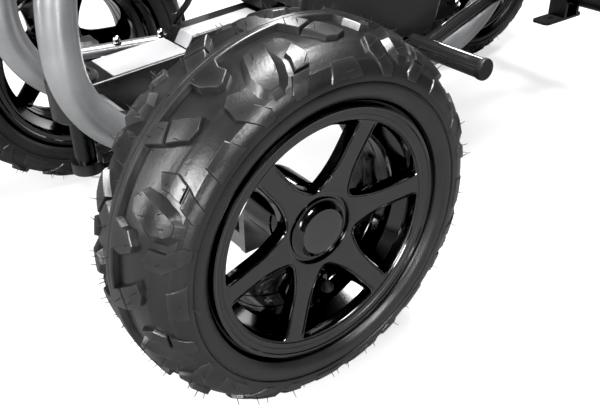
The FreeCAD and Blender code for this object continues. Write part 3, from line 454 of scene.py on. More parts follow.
MATERIALS = {
    "silver": paint_surface("silver_paint", (0.37, 0.375, 0.385), roughness=0.33, metallic=0.6,
                            flake=0.12, coat=0.45, peel=0.2),
    "silver_dark": paint_surface("silver_dark_paint", (0.17, 0.172, 0.178), roughness=0.32,
                                 metallic=0.6, flake=0.1, peel=0.2),
    "black_gloss": paint_surface("black_gloss_paint", (0.0035, 0.0035, 0.004), roughness=0.10,
                                 coat=0.6, peel=0.18),
    "black_beam": paint_surface("black_beam_paint", (0.006, 0.006, 0.0065), roughness=0.30,
                                peel=0.35),
    "rubber_tyre": rubber_surface("tyre_rubber", base=0.0085, roughness=0.32, grain=1.4,
                                  specular=0.56),
    "rubber": rubber_surface("soft_rubber", base=0.011, roughness=0.6, grain=1.2, specular=0.4),
    "wheel_face": plastic_surface("wheel_face_plastic", base=0.020, roughness=0.32,
                                  specular=0.5, grain=0.35, grain_scale=1100.0),
    "wheel_gloss": plastic_surface("wheel_gloss_plastic", base=0.004, roughness=0.11,
                                   specular=0.55, grain=0.08, grain_scale=900.0, coat=0.6),
    "cap_face": plastic_surface("cap_face_plastic", base=0.030, roughness=0.30,
                                specular=0.5, grain=0.3, grain_scale=1300.0),
    "matte": plastic_surface("matte_plastic", base=0.010, roughness=0.46,
                             specular=0.4, grain=0.7, grain_scale=600.0),
    "cover": plastic_surface("cover_plastic", base=0.010, roughness=0.33,
                             specular=0.5, grain=0.4, grain_scale=900.0),
    "steel": metal_surface("brushed_steel", (0.48, 0.48, 0.49), roughness=0.32, brushed=0.25,
                           axis="y"),
    "chrome": metal_surface("polished_chrome", (0.80, 0.80, 0.81), roughness=0.08),
    "cast": metal_surface("cast_aluminium", (0.50, 0.50, 0.51), roughness=0.38, brushed=0.1),
    "disc": metal_surface("ground_disc", (0.50, 0.50, 0.51), roughness=0.27, brushed=0.3,
                          axis="y"),
    "plate": paint_surface("blank_plate", (0.33, 0.33, 0.335), roughness=0.32, peel=0.05),
    "wood": wood_surface("ply_board"),
    "vinyl": vinyl_surface("pad_vinyl"),
    "thread": plastic_surface("pad_thread", base=0.05, roughness=0.6,
                              specular=0.3, grain=0.8, grain_scale=2500.0),
}

# CAD pieces by the material they take
FINISHES = {
    "silver": "rail_left rail_right column_tube pad_frame",
    "silver_dark": "frame_small_tubes",
    "black_beam": "head_crown spine_beam front_axle_beam rear_axle_beam steering_shaft handlebar",
    "black_gloss": "rear_cross_bar rear_stays fold_lever height_lever pad_clamp_lever",
    "steel": "head_bearings kingpins rear_axle fold_pin stem_tube tie_rod_left tie_rod_right",
    "plate": "blank_plates",
    "cover": "body_shell",
    "matte": "bar_end_caps fender_left fender_right brake_cable_lower brake_perch "
             "brake_cable_upper park_button",
    "chrome": "frame_bolts",
    "cast": "brake_caliper pad_clamp bar_clamp brake_lever knuckle_left knuckle_right "
            "caliper_arm",
    "rubber": "grips",
    "wood": "pad_board",
    "vinyl": "knee_pad",
    "disc": "brake_disc",
}


def finish_node(node_name, material):
    slots = NODES[node_name].data.materials
    slots.clear()
    slots.append(MATERIALS[material])


for material, node_names in FINISHES.items():
    for node_name in node_names.split():
        finish_node(node_name, material)


# ======================================================================== tyre
# Wheel frame, in mm: the axle is y, outward is +y, and angles run from +x to +z.
# The tread is laid out as (degrees round the wheel, mm along the section from its middle).
# Outer surface of one half, as (y, radius)
SECTION = [(0.0, TYRE_RADIUS), (14.0, 163.0), (27.0, 161.5), (38.0, 158.0), (47.0, 152.0),
           (54.0, 144.0), (57.3, 135.0), (57.0, 126.0)]
section_curve = smooth_curve([(-y, radius) for y, radius in reversed(SECTION[1:])] + SECTION, 12)
section_arc = np.concatenate([[0], np.cumsum(np.hypot(*np.diff(section_curve, axis=0).T))])
section_arc -= section_arc[np.argmin(np.abs(section_curve[:, 0]))]
section_tangent = np.gradient(section_curve, axis=0)
section_tangent /= np.linalg.norm(section_tangent, axis=1)[:, None]

TREAD_STEPS = 240
TREAD_PITCH = 45.0       # degrees
DEGREE_LENGTH = 2.76     # mm of tread per degree
TREAD_CELL = 4.0         # mm, grid that block tops are cut into
GROOVE_FLOOR = ([0, 24, 34, 44, 54, 62, 69, 76, 200],          # distance along the section
                [5.2, 5.2, 4.8, 4.0, 3.0, 1.8, 0.9, 0.0, 0.0])  # depth of the grooves

# Block outlines, as (degrees, mm along the section)
BLOCK_A_BASE = [(24.0, 18.0), (19.6, 41.0), (19.9, 54.8), (23.2, 66.3), (27.2, 66.3),
                (31.0, 54.5), (32.9, 41.5), (32.2, 23.5), (28.6, 15.8)]
BLOCK_A = [(25.2, 20.6), (21.9, 40.7), (22.4, 50.0), (23.5, 55.2), (26.6, 55.2), (28.0, 50.0),
           (29.3, 40.7), (31.0, 24.3), (28.4, 18.4)]
BLOCK_B_INNER = [(39.4, 3.0), (42.2, 20.6), (47.3, 13.8), (46.6, 9.0), (45.3, 3.0)]
BLOCK_B_OUTER = [(42.8, 23.2), (46.4, 37.4), (49.6, 38.9), (52.7, 35.0), (48.2, 16.4)]
BLOCK_C = [(12.6, 3.0), (12.8, 16.0), (15.3, 27.6), (17.0, 28.2), (20.2, 21.6), (19.7, 14.0),
           (21.2, 3.0)]
BLOCK_E = [(12.3, 54.0), (12.9, 41.2), (15.2, 37.0), (18.0, 41.2), (18.2, 54.5), (21.0, 64.5),
           (20.6, 72.0), (17.2, 72.5)]
BLOCK_D_INNER = [(33.6, 43.0), (33.5, 37.6), (36.9, 31.0), (38.4, 43.3), (37.0, 52.6),
                 (32.4, 52.6)]
BLOCK_D_OUTER = [(31.2, 54.6), (36.6, 54.6), (34.4, 63.0), (32.6, 71.0), (29.0, 71.0),
                 (28.2, 66.0)]
BLOCK_F = [(41.6, 72.0), (43.2, 57.2), (51.4, 56.8), (53.8, 72.0)]

# Bead, inner liner and back to the middle, as (y, radius)
BEAD = [(56.9, 128.8), (56.2, 128.0), (56.5, 127.0), (56.9, 124.5), (56.6, 121.5),
        (55.4, 118.4), (53.6, 115.8), (51.4, 113.8), (48.8, 112.9), (47.1, 111.4),
        (46.9, 108.0), (46.8, 101.5), (36.5, 101.5), (37.5, 107.0), (44.8, 116.0),
        (49.3, 126.0), (49.3, 136.0), (45.3, 144.0), (37.4, 149.0), (25.6, 151.5),
        (12.8, 152.6), (0.0, 152.8)]
# Centre rib with the mould line along its crown, as (mm along the section, height)
CENTRE_RIB = [(-6.2, -7.4), (-5.4, -1.0), (-4.9, -0.35), (-4.2, 0.0), (-0.45, 0.0),
              (-0.2, -0.45), (0.2, -0.45), (0.45, 0.0), (4.2, 0.0), (4.9, -0.35), (5.4, -1.0),
              (6.2, -7.4)]
# Vents of one pitch, laid out like the blocks
VENTS = [(26.0, 30), (28.0, 44), (24.5, 50), (30.2, 26), (41.5, 9), (45.0, 12), (45.5, 28),
         (50.0, 34), (14.0, 8), (19.0, 9), (16.0, 22), (35.0, 40), (36.5, 50), (15.0, 48),
         (16.5, 60), (40.5, 16), (10.0, 2.4), (33.0, 2.6), (47.0, 66), (34.0, 60), (25.0, 12),
         (7.0, 45), (44.5, 74), (20.0, 74)]


def section_at(along):
    """(y, radius, normal y, normal radius) of the outer surface."""
    along = np.clip(along, section_arc[0], section_arc[-1])
    y, radius, tangent_y, tangent_radius = (
        np.interp(along, section_arc, column)
        for column in (*section_curve.T, *section_tangent.T))
    length = np.hypot(tangent_radius, tangent_y)
    return y, radius, -tangent_radius / length, tangent_y / length


def raised(along, height):
    """(y, radius) at a height over the outer surface."""
    y, radius, normal_y, normal_radius = section_at(along)
    return y + normal_y * height, radius + normal_radius * height


def groove_depth(along):
    return float(np.interp(np.abs(along), *GROOVE_FLOOR))


def on_tread(degrees, along, height):
    y, radius = raised(along, height)
    angle = np.radians(degrees)
    return np.array([radius * np.cos(angle), y, radius * np.sin(angle)])


def grow_block(outline, distance):
    """Offsets a block outline outwards by a distance in mm."""
    flat = [(degrees * DEGREE_LENGTH, along) for degrees, along in outline]
    return [(x / DEGREE_LENGTH, y) for x, y in offset_outline(flat, distance, least_dot=0.35)]


def flush(along):
    """Top of a block that reaches the outer surface."""
    return 0.0


def block_foot(along):
    """Just under the groove floor."""
    return -groove_depth(along) - 0.9


def above_floor(middle, shoulder):
    """Top of a block that stands this far over the groove floor."""
    def height(along):
        rise = np.interp(abs(along), [30, 48, 72],
                         [middle, middle * 0.75 + shoulder * 0.25, shoulder])
        return float(-groove_depth(along) + rise)
    return height


def nearest_on_outline(point, corners):
    """(corner index, fraction to the next corner) of the nearest outline point."""
    best = None
    for i, start in enumerate(corners):
        side = corners[(i + 1) % len(corners)] - start
        t = float(np.clip(np.dot(point - start, side) / np.dot(side, side), 0, 1))
        distance = float(np.linalg.norm(start + side * t - point))
        if best is None or distance < best[0] - 1e-6:
            best = (distance, i, t)
    return best[1:]


def gridded_face(corners):
    """A flat face cut along a square grid, so that it can follow the tyre."""
    sheet = bmesh.new()
    verts = [sheet.verts.new((x, y, 0.0)) for x, y in corners]
    sheet.faces.new(verts)
    spans = [(min(vert.co[axis] for vert in verts), max(vert.co[axis] for vert in verts))
             for axis in (0, 1)]
    for (low, high), normal in zip(spans, ((1, 0, 0), (0, 1, 0))):
        for cut in np.arange(math.ceil(low / TREAD_CELL) * TREAD_CELL, high, TREAD_CELL):
            bmesh.ops.bisect_plane(
                sheet, geom=sheet.verts[:] + sheet.edges[:] + sheet.faces[:],
                plane_co=[cut * part for part in normal], plane_no=normal)
    bmesh.ops.remove_doubles(sheet, verts=sheet.verts[:], dist=1e-4)
    sheet.verts.ensure_lookup_table()
    sheet.verts.index_update()
    return sheet


def boundary_loop(sheet):
    following = {}
    for edge in sheet.edges:
        if len(edge.link_faces) == 1:
            corner = edge.link_loops[0]
            following[corner.vert.index] = corner.link_loop_next.vert.index
    start = next(iter(following))
    loop = [start]
    while following[loop[-1]] != start:
        loop.append(following[loop[-1]])
    return loop


def add_block(shape, top, base, top_height, bevel):
    """One closed tread block, from a bevelled top down to its foot."""
    corners = np.array(grow_block(top, -bevel), float) * np.array([DEGREE_LENGTH, 1.0])
    sheet = gridded_face(corners)
    loop = boundary_loop(sheet)
    places = [nearest_on_outline(np.array(sheet.verts[i].co[:2]), corners) for i in loop]
    first = len(shape.verts)
    for vert in sheet.verts:
        x, y = vert.co.x, vert.co.y
        shape.verts.append(on_tread(x / DEGREE_LENGTH, y, top_height(y)))
    for face in sheet.faces:
        shape.faces.append([first + vert.index for vert in face.verts])
    sheet.free()

    def around(outline):
        outline = np.array(outline, float)
        return [outline[i] * (1 - t) + outline[(i + 1) % len(outline)] * t for i, t in places]

    rims, feet = around(top), around(base)
    drop = bevel * 0.75
    rim_ring = [on_tread(*rim, top_height(rim[1]) - drop) for rim in rims]
    wall_ring = [on_tread(*(rim * 0.25 + foot * 0.75),
                          (top_height(rim[1]) - drop) * 0.25 + block_foot(foot[1]) * 0.75)
                 for rim, foot in zip(rims, feet)]
    foot_ring = [on_tread(*foot, block_foot(foot[1])) for foot in feet]
    upper = [first + i for i in loop]
    for points in (rim_ring, wall_ring, foot_ring):
        start = len(shape.verts)
        lower = list(range(start, start + len(points)))
        shape.verts.extend(points)
        for i in range(len(loop)):
            j = (i + 1) % len(loop)
            shape.faces.append([upper[j], upper[i], lower[i], lower[j]])
        upper = lower
    shape.faces.append(upper)


def add_carcass(shape):
    """Outer skin, bead and inner liner, closed all round."""
    profile = []
    for along in np.concatenate([np.arange(-76, -30, 2.0), np.arange(-30, 30.01, 3.0),
                                 np.arange(32, 77, 2.0)]):
        y, radius, normal_y, normal_radius = section_at(along)
        depth = groove_depth(along)
        # fine ridges round the groove floor
        ridge = 0.25 if any(abs(abs(along) - at) < 1.01 for at in (25.5, 41.0, 60.0)) else 0.0
        profile.append((float(y - normal_y * depth + normal_y * ridge),
                        float(radius - normal_radius * depth + normal_radius * ridge)))
    edge_radius = section_at(76.0)[1]
    bead = [point for point in BEAD if point[1] < edge_radius - 0.5]
    profile += bead + [(-y, radius) for y, radius in reversed(bead) if y > 0]
    shape.revolve([(radius, y) for y, radius in profile], TREAD_STEPS, closed=True)


def add_hair(shape, rng, degrees, along):
    """A bent rubber hair left by a mould vent."""
    root = on_tread(degrees, along, -1.2 if abs(along) < 54 else -2.0)
    height = rng.uniform(3.0, 7.5) if abs(along) > 30 else rng.uniform(2.4, 5.5)
    tip = on_tread(degrees + rng.uniform(-0.9, 0.9), along + rng.uniform(-2.2, 2.2), height)
    axis = tip - root
    length = np.linalg.norm(axis)
    axis /= length
    side = np.cross(axis, (0.3, 0.5, 0.8))
    side /= np.linalg.norm(side)
    up = np.cross(axis, side)
    bend = side * rng.uniform(-1.0, 1.0) + up * rng.uniform(-1.0, 1.0)
    points = []
    for i in range(4):
        t = i / 3
        centre = root + axis * length * t + bend * t * t
        points += ring(centre, side, up, 0.42 * (1 - 0.45 * t), 4)
    shape.grid(points, 4, capped=True)


def make_tyre():
    shape = Shape()
    add_carcass(shape)
    rib = [raised(along, height) for along, height in CENTRE_RIB]
    shape.revolve([(radius, y) for y, radius in rib], TREAD_STEPS, closed=True)
    # (top outline, base outline, top height, bevel)
    blocks = [
        (BLOCK_A, BLOCK_A_BASE, flush, 0.6),
        (BLOCK_B_INNER, None, flush, 0.6),
        (BLOCK_B_OUTER, None, flush, 0.6),
        (BLOCK_C, None, flush, 0.6),
        (BLOCK_E, None, above_floor(3.2, 0.8), 0.5),
        (BLOCK_D_INNER, None, above_floor(3.6, 1.6), 0.5),
        (BLOCK_D_OUTER, None, above_floor(3.0, 0.75), 0.4),
        (BLOCK_F, None, above_floor(1.6, 0.8), 0.35),
    ]
    rng = random.Random(7)
    hairs = []
    # the inner half is turned by nearly half a pitch
    for side, shift in ((1, 0.0), (-1, TREAD_PITCH / 2 - 2.8)):
        for k in range(8):
            turn = TREAD_PITCH * k + shift
            for top, base, top_height, bevel in blocks:
                placed = [[(degrees + turn, along * side) for degrees, along in outline]
                          for outline in (top, base or grow_block(top, 1.15))]
                if side < 0:
                    for outline in placed:
                        outline.reverse()
                add_block(shape, *placed, top_height, bevel)
            for degrees, along in VENTS:
                if rng.random() < 0.72:
                    hairs.append((degrees + turn + rng.uniform(-1, 1),
                                  side * (along + rng.uniform(-1.5, 1.5))))
    for hair in hairs:
        add_hair(shape, rng, *hair)
    mesh = shape.mesh("tyre_mesh", MM)
    reshade(mesh, crease=16, recalc=True)
    mesh.materials.append(MATERIALS["rubber_tyre"])
    return mesh


# ========================================================================= rim
FIRST_SPOKE = 52.2       # degrees
SPOKES = 6
SPOKE_PITCH = 360 / SPOKES
SPOKE_HALF_WIDTH = 9.75
WINDOW_RADIUS = 96.0     # outer edge of the windows
BORDER_RADIUS = 95.6     # the raised window borders end here
DISC_THICKNESS = 9.0
BACK_SHRINK = 0.03       # draft of the windows at the back face
HUB_RADIUS = 30.3
LIP_RADIUS = 99.2        # the disc meets the turned lip here

# Distance from the window edge, and the rise of the border there
BORDER_OFFSETS = [0.0, 0.4, 1.0, 1.6, 2.0, 2.5, 2.8]
BORDER_RISE = [-0.7, 0.25, 0.75, 0.55, -0.45, -0.45, 0.0]
# Face of the spoke disc: radii and y
DISC_FACE = ([27.0, HUB_RADIUS, 30.6, 31.1, 31.8, 33, 38, 46, 60, 80, 92, 96.3, 97.0, 99.0,
              104.0],
             [33.4, 34.6, 35.15, 35.5, 35.65, 35.8, 36.6, 38.2, 40.7, 44.2, 46.5, 47.6, 48.2,
              48.7, 49.8])
# Shallow groove outside the windows: radii and rise
RING_GROOVE = ([96.4, 96.6, 96.9, 97.3, 97.7], [0.0, -0.1, -0.6, -0.6, 0.0])
# Circles that the disc face is divided along: (radius, steps)
DISC_CIRCLES = [(HUB_RADIUS, 96), (30.6, 96), (31.1, 96), (31.8, 96), (34.0, 96), (96.5, 180),
                (96.9, 180), (97.3, 180), (97.7, 180), (LIP_RADIUS, 180)]


def disc_y(radius):
    return float(np.interp(radius, *DISC_FACE))


def window_edge_y(x, z):
    radius = math.hypot(x, z)
    return disc_y(radius) - (0.7 if radius < BORDER_RADIUS else 0.5)


# Turned parts of the rim, as (radius, y)
LIP_STEPS = [(LIP_RADIUS, disc_y(LIP_RADIUS)), (101.2, 49.2), (101.9, 49.9), (102.4, 50.0),
             (105.6, 50.5)]
BARREL = [(105.6, 50.5), (106.1, 51.3), (107.4, 51.7), (108.9, 51.3), (109.5, 50.2),
          (109.3, 48.9), (108.0, 48.5), (105.5, 47.9), (103.0, 47.4), (101.0, 47.0),
          (101.0, 34.0), (96.0, 30.5), (90.0, 28.0), (88.0, 25.0), (88.0, -25.0),
          (90.0, -28.0), (101.0, -34.0), (101.0, -47.2), (103.0, -47.4), (108.0, -48.5),
          (109.3, -48.9), (109.5, -50.2), (108.9, -51.3), (107.4, -51.7), (105.4, -51.4),
          (104.0, -50.4), (99.0, -49.4), (97.6, -47.5), (97.3, -36.0), (93.0, -33.0),
          (87.0, -30.0), (85.0, -27.5), (84.5, -24.0), (84.5, -8.0), (84.0, -7.6),
          (84.0, -6.4), (84.5, -6.0), (84.5, 10.0), (84.0, 10.4), (84.0, 11.6), (84.5, 12.0),
          (84.5, 24.0), (86.0, 29.0), (91.0, 33.5), (95.5, disc_y(95.5) - 9.7)]
HUB = [(27.0, disc_y(27.0) - 9.7), (27.0, 6.0), (28.0, 5.0), (28.0, -30.0), (27.2, -35.2),
       (26.4, -36.0), (21.4, -36.0), (21.1, -35.6), (21.1, -20.0), (18.0, -20.0), (18.0, 20.0),
       (21.1, 20.0), (21.1, 32.7), (30.1, 32.7), (HUB_RADIUS, 33.0),
       (HUB_RADIUS, disc_y(HUB_RADIUS))]


def window_outline(middle, offset):
    """Outline of one window about an angle, grown by an offset.

    The apex is a small arc, the sides flare away from the spokes near the hub
    and run parallel to them further out, and the outer edge is an arc about the hub."""
    half_pitch = math.radians(SPOKE_PITCH / 2)
    along_x, along_z = math.cos(half_pitch), math.sin(half_pitch)
    apex_radius, apex_x, apex_turn = 7.0, 45.0, 38
    side_start, corner = 70.0, 1.3

    def on_spoke_side(distance):
        return (distance * along_x + SPOKE_HALF_WIDTH * along_z,
                distance * along_z - SPOKE_HALF_WIDTH * along_x)

    half = []
    for k in range(7):
        angle = math.radians(180 - apex_turn * k / 6)
        half.append((apex_x + apex_radius * math.cos(angle), apex_radius * math.sin(angle)))
    # a Bezier curve from the apex to the straight side
    start, end = half[-1], on_spoke_side(side_start)
    leaving = math.radians(180 - apex_turn)
    reach = math.hypot(end[0] - start[0], end[1] - start[1])
    near = (start[0] + math.sin(leaving) * reach * 0.33,
            start[1] - math.cos(leaving) * reach * 0.33)
    far = (end[0] - along_x * reach * 0.42, end[1] - along_z * reach * 0.42)
    for k in range(1, 12):
        t = k / 11
        u = 1 - t
        half.append(tuple(u ** 3 * start[i] + 3 * u * u * t * near[i] + 3 * u * t * t * far[i]
                          + t ** 3 * end[i] for i in (0, 1)))
    outer_x, outer_z = on_spoke_side(math.sqrt(WINDOW_RADIUS ** 2 - SPOKE_HALF_WIDTH ** 2))
    for k in range(1, 5):
        t = k / 5
        half.append((end[0] + (outer_x - end[0]) * t, end[1] + (outer_z - end[1]) * t))
    half.append((outer_x - along_x * corner, outer_z - along_z * corner))
    arc = math.atan2(outer_z, outer_x) - corner / WINDOW_RADIUS
    points = list(half)
    for k in range(19):
        angle = arc - 2 * arc * k / 18
        points.append((WINDOW_RADIUS * math.cos(angle), WINDOW_RADIUS * math.sin(angle)))
    points += [(x, -z) for x, z in reversed(half[1:])]
    if offset:
        # the grown outline stops short of the ring
        grown = offset_outline(points, offset, least_dot=0.5)
        scales = [min(1.0, 96.35 / math.hypot(x, z)) for x, z in grown]
        points = [(x * scale, z * scale) for (x, z), scale in zip(grown, scales)]
    turn_x, turn_z = math.cos(math.radians(middle)), math.sin(math.radians(middle))
    return [(x * turn_x - z * turn_z, x * turn_z + z * turn_x) for x, z in points]


def shrink(outline, share):
    """Draws an outline towards the mean of its points."""
    centre_x, centre_z = (sum(values) / len(outline) for values in zip(*outline))
    return [(x + (centre_x - x) * share, z + (centre_z - z) * share) for x, z in outline]


def signed_distance(point, outline):
    """Distance to a closed outline, negative inside it."""
    following = np.roll(outline, -1, axis=0)
    sides = following - outline
    t = np.clip(((point - outline) * sides).sum(1)
                / np.maximum((sides * sides).sum(1), 1e-12), 0, 1)
    distance = np.linalg.norm(outline + sides * t[:, None] - point, axis=1).min()
    x, y = point
    inside = False
    for (x1, y1), (x2, y2) in zip(outline, following):
        if (y1 > y) != (y2 > y) and x < (x2 - x1) * (y - y1) / (y2 - y1 + 1e-18) + x1:
            inside = not inside
    return -distance if inside else distance


def window_distance(point, outlines):
    return min(signed_distance(point, outline) for outline in outlines)


def triangulate(loops, loose=()):
    """Points and triangles of the plane, divided along closed loops."""
    points, edges = [], []
    for loop in loops:
        start, count = len(points), len(loop)
        points += [Vector(point) for point in loop]
        edges += [(start + i, start + (i + 1) % count) for i in range(count)]
    points += [Vector(point) for point in loose]
    result = delaunay_2d_cdt(points, edges, [], 0, 1e-5)
    return np.array([(point.x, point.y) for point in result[0]]), result[2]


def add_disc_front(satin, gloss, windows):
    """Disc face; the window borders, hub edge and ring groove are glossy."""
    loops = [outline for window in windows for outline in window]
    loops += [circle(radius, steps) for radius, steps in DISC_CIRCLES]
    # loose points along the spokes, so the dished face is followed
    loose = []
    for k in range(SPOKES):
        angle = math.radians(FIRST_SPOKE + SPOKE_PITCH * k)
        for radius in (42, 50, 58, 66, 74, 82, 90, 94):
            for across in (-3.0, 0.0, 3.0):
                loose.append((radius * math.cos(angle) - across * math.sin(angle),
                              radius * math.sin(angle) + across * math.cos(angle)))
    points, triangles = triangulate(loops, loose)
    edges = [np.array(window[0]) for window in windows]
    gap = np.array([window_distance(point, edges) for point in points])
    radii = np.hypot(points[:, 0], points[:, 1])
    fade = np.clip((BORDER_RADIUS - radii) / 1.5, 0, 1)
    outer_edge = np.interp(gap, [0.0, 0.45], [-0.5, 0.0])
    heights = (np.array([disc_y(radius) for radius in radii])
               + np.interp(gap, BORDER_OFFSETS, BORDER_RISE) * fade
               + outer_edge * (1 - fade) * (radii < 96.45))
    heights += np.interp(radii, *RING_GROOVE)
    for triangle in triangles:
        centre = points[list(triangle)].mean(0)
        radius = float(np.hypot(*centre))
        if radius < 30.25 or radius > 99.3:
            continue
        distance = window_distance(centre, edges)
        if distance < -0.01:
            continue
        glossy = ((distance < 2.7 and radius < BORDER_RADIUS) or radius < 31.8
                  or 96.5 < radius < 97.7)
        shape = gloss if glossy else satin
        start = len(shape.verts)
        shape.verts.extend((points[i][0], heights[i], points[i][1]) for i in triangle)
        shape.faces.append([start, start + 1, start + 2])


def add_window_walls(gloss, windows):
    """Window sides, with draft, down to the back face."""
    for edge, *_ in windows:
        points = []
        for drop, share in ((0.0, 0.0), (1.2, 0.012), (DISC_THICKNESS, BACK_SHRINK)):
            for (x, z), (inner_x, inner_z) in zip(edge, shrink(edge, share)):
                points.append((inner_x, window_edge_y(x, z) - drop, inner_z))
        gloss.grid(points, len(edge))


def add_disc_back(gloss, windows):
    edges = [np.array(shrink(window[0], BACK_SHRINK)) for window in windows]
    circles = [circle(radius, steps) for radius, steps in ((27.0, 72), (38.0, 72), (95.5, 144))]
    points, triangles = triangulate([*edges, *circles])
    for triangle in triangles:
        centre = points[list(triangle)].mean(0)
        radius = float(np.hypot(*centre))
        if radius < 27.0 or radius > 95.6 or window_distance(centre, edges) < -0.01:
            continue
        start = len(gloss.verts)
        for i in triangle:
            x, z = points[i]
            gloss.verts.append((x, window_edge_y(x, z) - DISC_THICKNESS, z))
        gloss.faces.append([start, start + 2, start + 1])


def make_rim():
    satin, gloss = Shape(), Shape()
    windows = [[window_outline(FIRST_SPOKE + SPOKE_PITCH / 2 + SPOKE_PITCH * k, offset)
                for offset in BORDER_OFFSETS] for k in range(SPOKES)]
    add_disc_front(satin, gloss, windows)
    add_window_walls(gloss, windows)
    add_disc_back(gloss, windows)
    satin.revolve(LIP_STEPS, 180)
    gloss.revolve(BARREL, 180)
    gloss.revolve(HUB, 180)
    # join both, one material slot each, welded where they meet
    solid = bmesh.new()
    for slot, part in enumerate((satin.mesh("rim_face", MM), gloss.mesh("rim_gloss", MM))):
        before = len(solid.faces)
        solid.from_mesh(part)
        solid.faces.ensure_lookup_table()
        for face in solid.faces[before:]:
            face.material_index = slot
    bmesh.ops.remove_doubles(solid, verts=solid.verts[:], dist=2e-5)
    bmesh.ops.dissolve_degenerate(solid, dist=1e-6, edges=solid.edges[:])
    bmesh.ops.recalc_face_normals(solid, faces=solid.faces[:])
    shade(solid, crease=24)
    mesh = bpy.data.meshes.new("rim_mesh")
    solid.to_mesh(mesh)
    solid.free()
    mesh.materials.append(MATERIALS["wheel_face"])
    mesh.materials.append(MATERIALS["wheel_gloss"])
    return mesh


# ============================================================ hub cap and valve
CAP_PROFILE = [  # (radius, y)
    (0.0, 39.0), (12.0, 39.0), (19.3, 39.0), (19.65, 38.9), (19.95, 38.55), (20.6, 37.75),
    (22.0, 36.4), (23.6, 35.2), (25.2, 34.45), (26.2, 34.25), (26.5, 34.4), (26.9, 34.4),
    (27.2, 34.15), (27.35, 33.5), (27.5, 32.85), (20.9, 32.8), (20.9, 32.6), (17.6, 32.6),
    (17.6, 35.4), (0.0, 35.4)]
VALVE_ANGLE = 254.4      # degrees
VALVE_Y = 18.0
VALVE_PROFILE = [  # (radius, distance from the wheel's axis)
    (0.0, 91.3), (6.2, 91.2), (6.6, 90.4), (6.4, 88.8), (4.1, 88.3), (4.0, 84.9), (5.9, 84.3),
    (6.3, 83.6), (5.2, 82.0), (4.2, 79.0), (3.7, 74.0), (3.6, 71.5), (3.9, 71.2), (4.1, 70.6),
    (4.1, 64.6), (3.6, 63.6), (2.4, 63.2), (0.0, 63.2)]


def finish_turned(mesh, profile, split, materials, crease=None, turn=0.0):
    """Closes the poles; bands of the profile from split on take the second material."""
    for polygon in mesh.polygons:
        polygon.material_index = int(polygon.index % (len(profile) - 1) >= split)
    solid = bmesh.new()
    solid.from_mesh(mesh)
    bmesh.ops.remove_doubles(solid, verts=solid.verts[:], dist=1e-6)
    bmesh.ops.dissolve_degenerate(solid, dist=1e-7, edges=solid.edges[:])
    bmesh.ops.recalc_face_normals(solid, faces=solid.faces[:])
    shade(solid, crease)
    bmesh.ops.rotate(solid, verts=solid.verts[:], cent=(0, 0, 0),
                     matrix=Matrix.Rotation(-math.radians(turn), 3, "Y"))
    solid.to_mesh(mesh)
    solid.free()
    for material in materials:
        mesh.materials.append(MATERIALS[material])
    return mesh


def make_cap():
    shape = Shape()
    shape.revolve(CAP_PROFILE, 96)
    return finish_turned(shape.mesh("cap_mesh", MM), CAP_PROFILE, split=2,
                         materials=("cap_face", "wheel_gloss"), crease=30)


def make_valve():
    """Snap-in rubber valve with a ribbed cap, pointing at the hub."""
    points = []
    for i, (cosine, sine) in enumerate(circle(1.0, 20)):
        for radius, x in VALVE_PROFILE:
            reach = radius * (1.05 if i % 2 and 63.5 < x < 71.0 else 1.0)
            points.append((x, VALVE_Y + reach * cosine, reach * sine))
    shape = Shape()
    shape.grid(points, len(VALVE_PROFILE), wrap_rows=True, wrap_columns=False)
    return finish_turned(shape.mesh("valve_mesh", MM), VALVE_PROFILE, split=12,
                         materials=("rubber", "black_gloss"), turn=VALVE_ANGLE)


# ====================================================================== wheels
REAR_AXLE_X = FRONT_AXLE_X - WHEELBASE * MM
# (place, axle x, y of the wheel's middle in mm, spin in degrees)
WHEELS = [("front_left", FRONT_AXLE_X, FRONT_HALF_TRACK, 0.0),
          ("front_right", FRONT_AXLE_X, -FRONT_HALF_TRACK, -14.0),
          ("rear_left", REAR_AXLE_X, REAR_HALF_TRACK, 31.0),
          ("rear_right", REAR_AXLE_X, -REAR_HALF_TRACK, 8.0)]


def make_wheels():
    # (object prefix, mesh, prefix of the CAD node it replaces, slot)
    parts = [("tread_tyre", make_tyre(), "tyre_", "tyre"),
             ("spoke_rim", make_rim(), "rim_", "wheel_plastic"),
             ("cap_cover", make_cap(), "hub_cap_", "cap_plastic"),
             ("valve_stem", make_valve(), None, "wheel_plastic")]
    for wheel, axle_x, middle_y, spin in WHEELS:
        turn = Matrix.Rotation(math.radians(spin), 4, "Y")
        if middle_y < 0:
            turn = Matrix.Scale(-1.0, 4, (0, 1, 0)) @ turn
        place = Matrix.Translation((axle_x, middle_y * MM, TYRE_RADIUS * MM)) @ turn
        for prefix, source, node_prefix, slot in parts:
            mesh = source.copy()
            mesh.transform(place)
            if middle_y < 0:
                mesh.flip_normals()
            replaced = [node_prefix + wheel] if node_prefix else []
            attach(link_object(f"{prefix}_{wheel}", mesh), "wheel_" + wheel, slot, *replaced)
        finish_node("bearings_" + wheel, "steel")


make_wheels()


# ============================================================== grips and hoses
def tube_object(name, points, radius, material, sides=14, steps=10):
    """Round tube along a smooth path, in metres."""
    path = smooth_curve(points, steps)
    tangents = np.gradient(path, axis=0)
    tangents /= np.linalg.norm(tangents, axis=1)[:, None]
    side = np.cross(tangents[0], (0.31, 0.17, 0.93))
    side /= np.linalg.norm(side)
    rings = []
    for centre, tangent in zip(path, tangents):
        side = side - tangent * np.dot(side, tangent)
        side /= np.linalg.norm(side)
        rings += ring(centre, side, np.cross(tangent, side), radius, sides)
    shape = Shape()
    shape.grid(rings, sides, capped=True)
    return shape.object(name, material, crease=40)


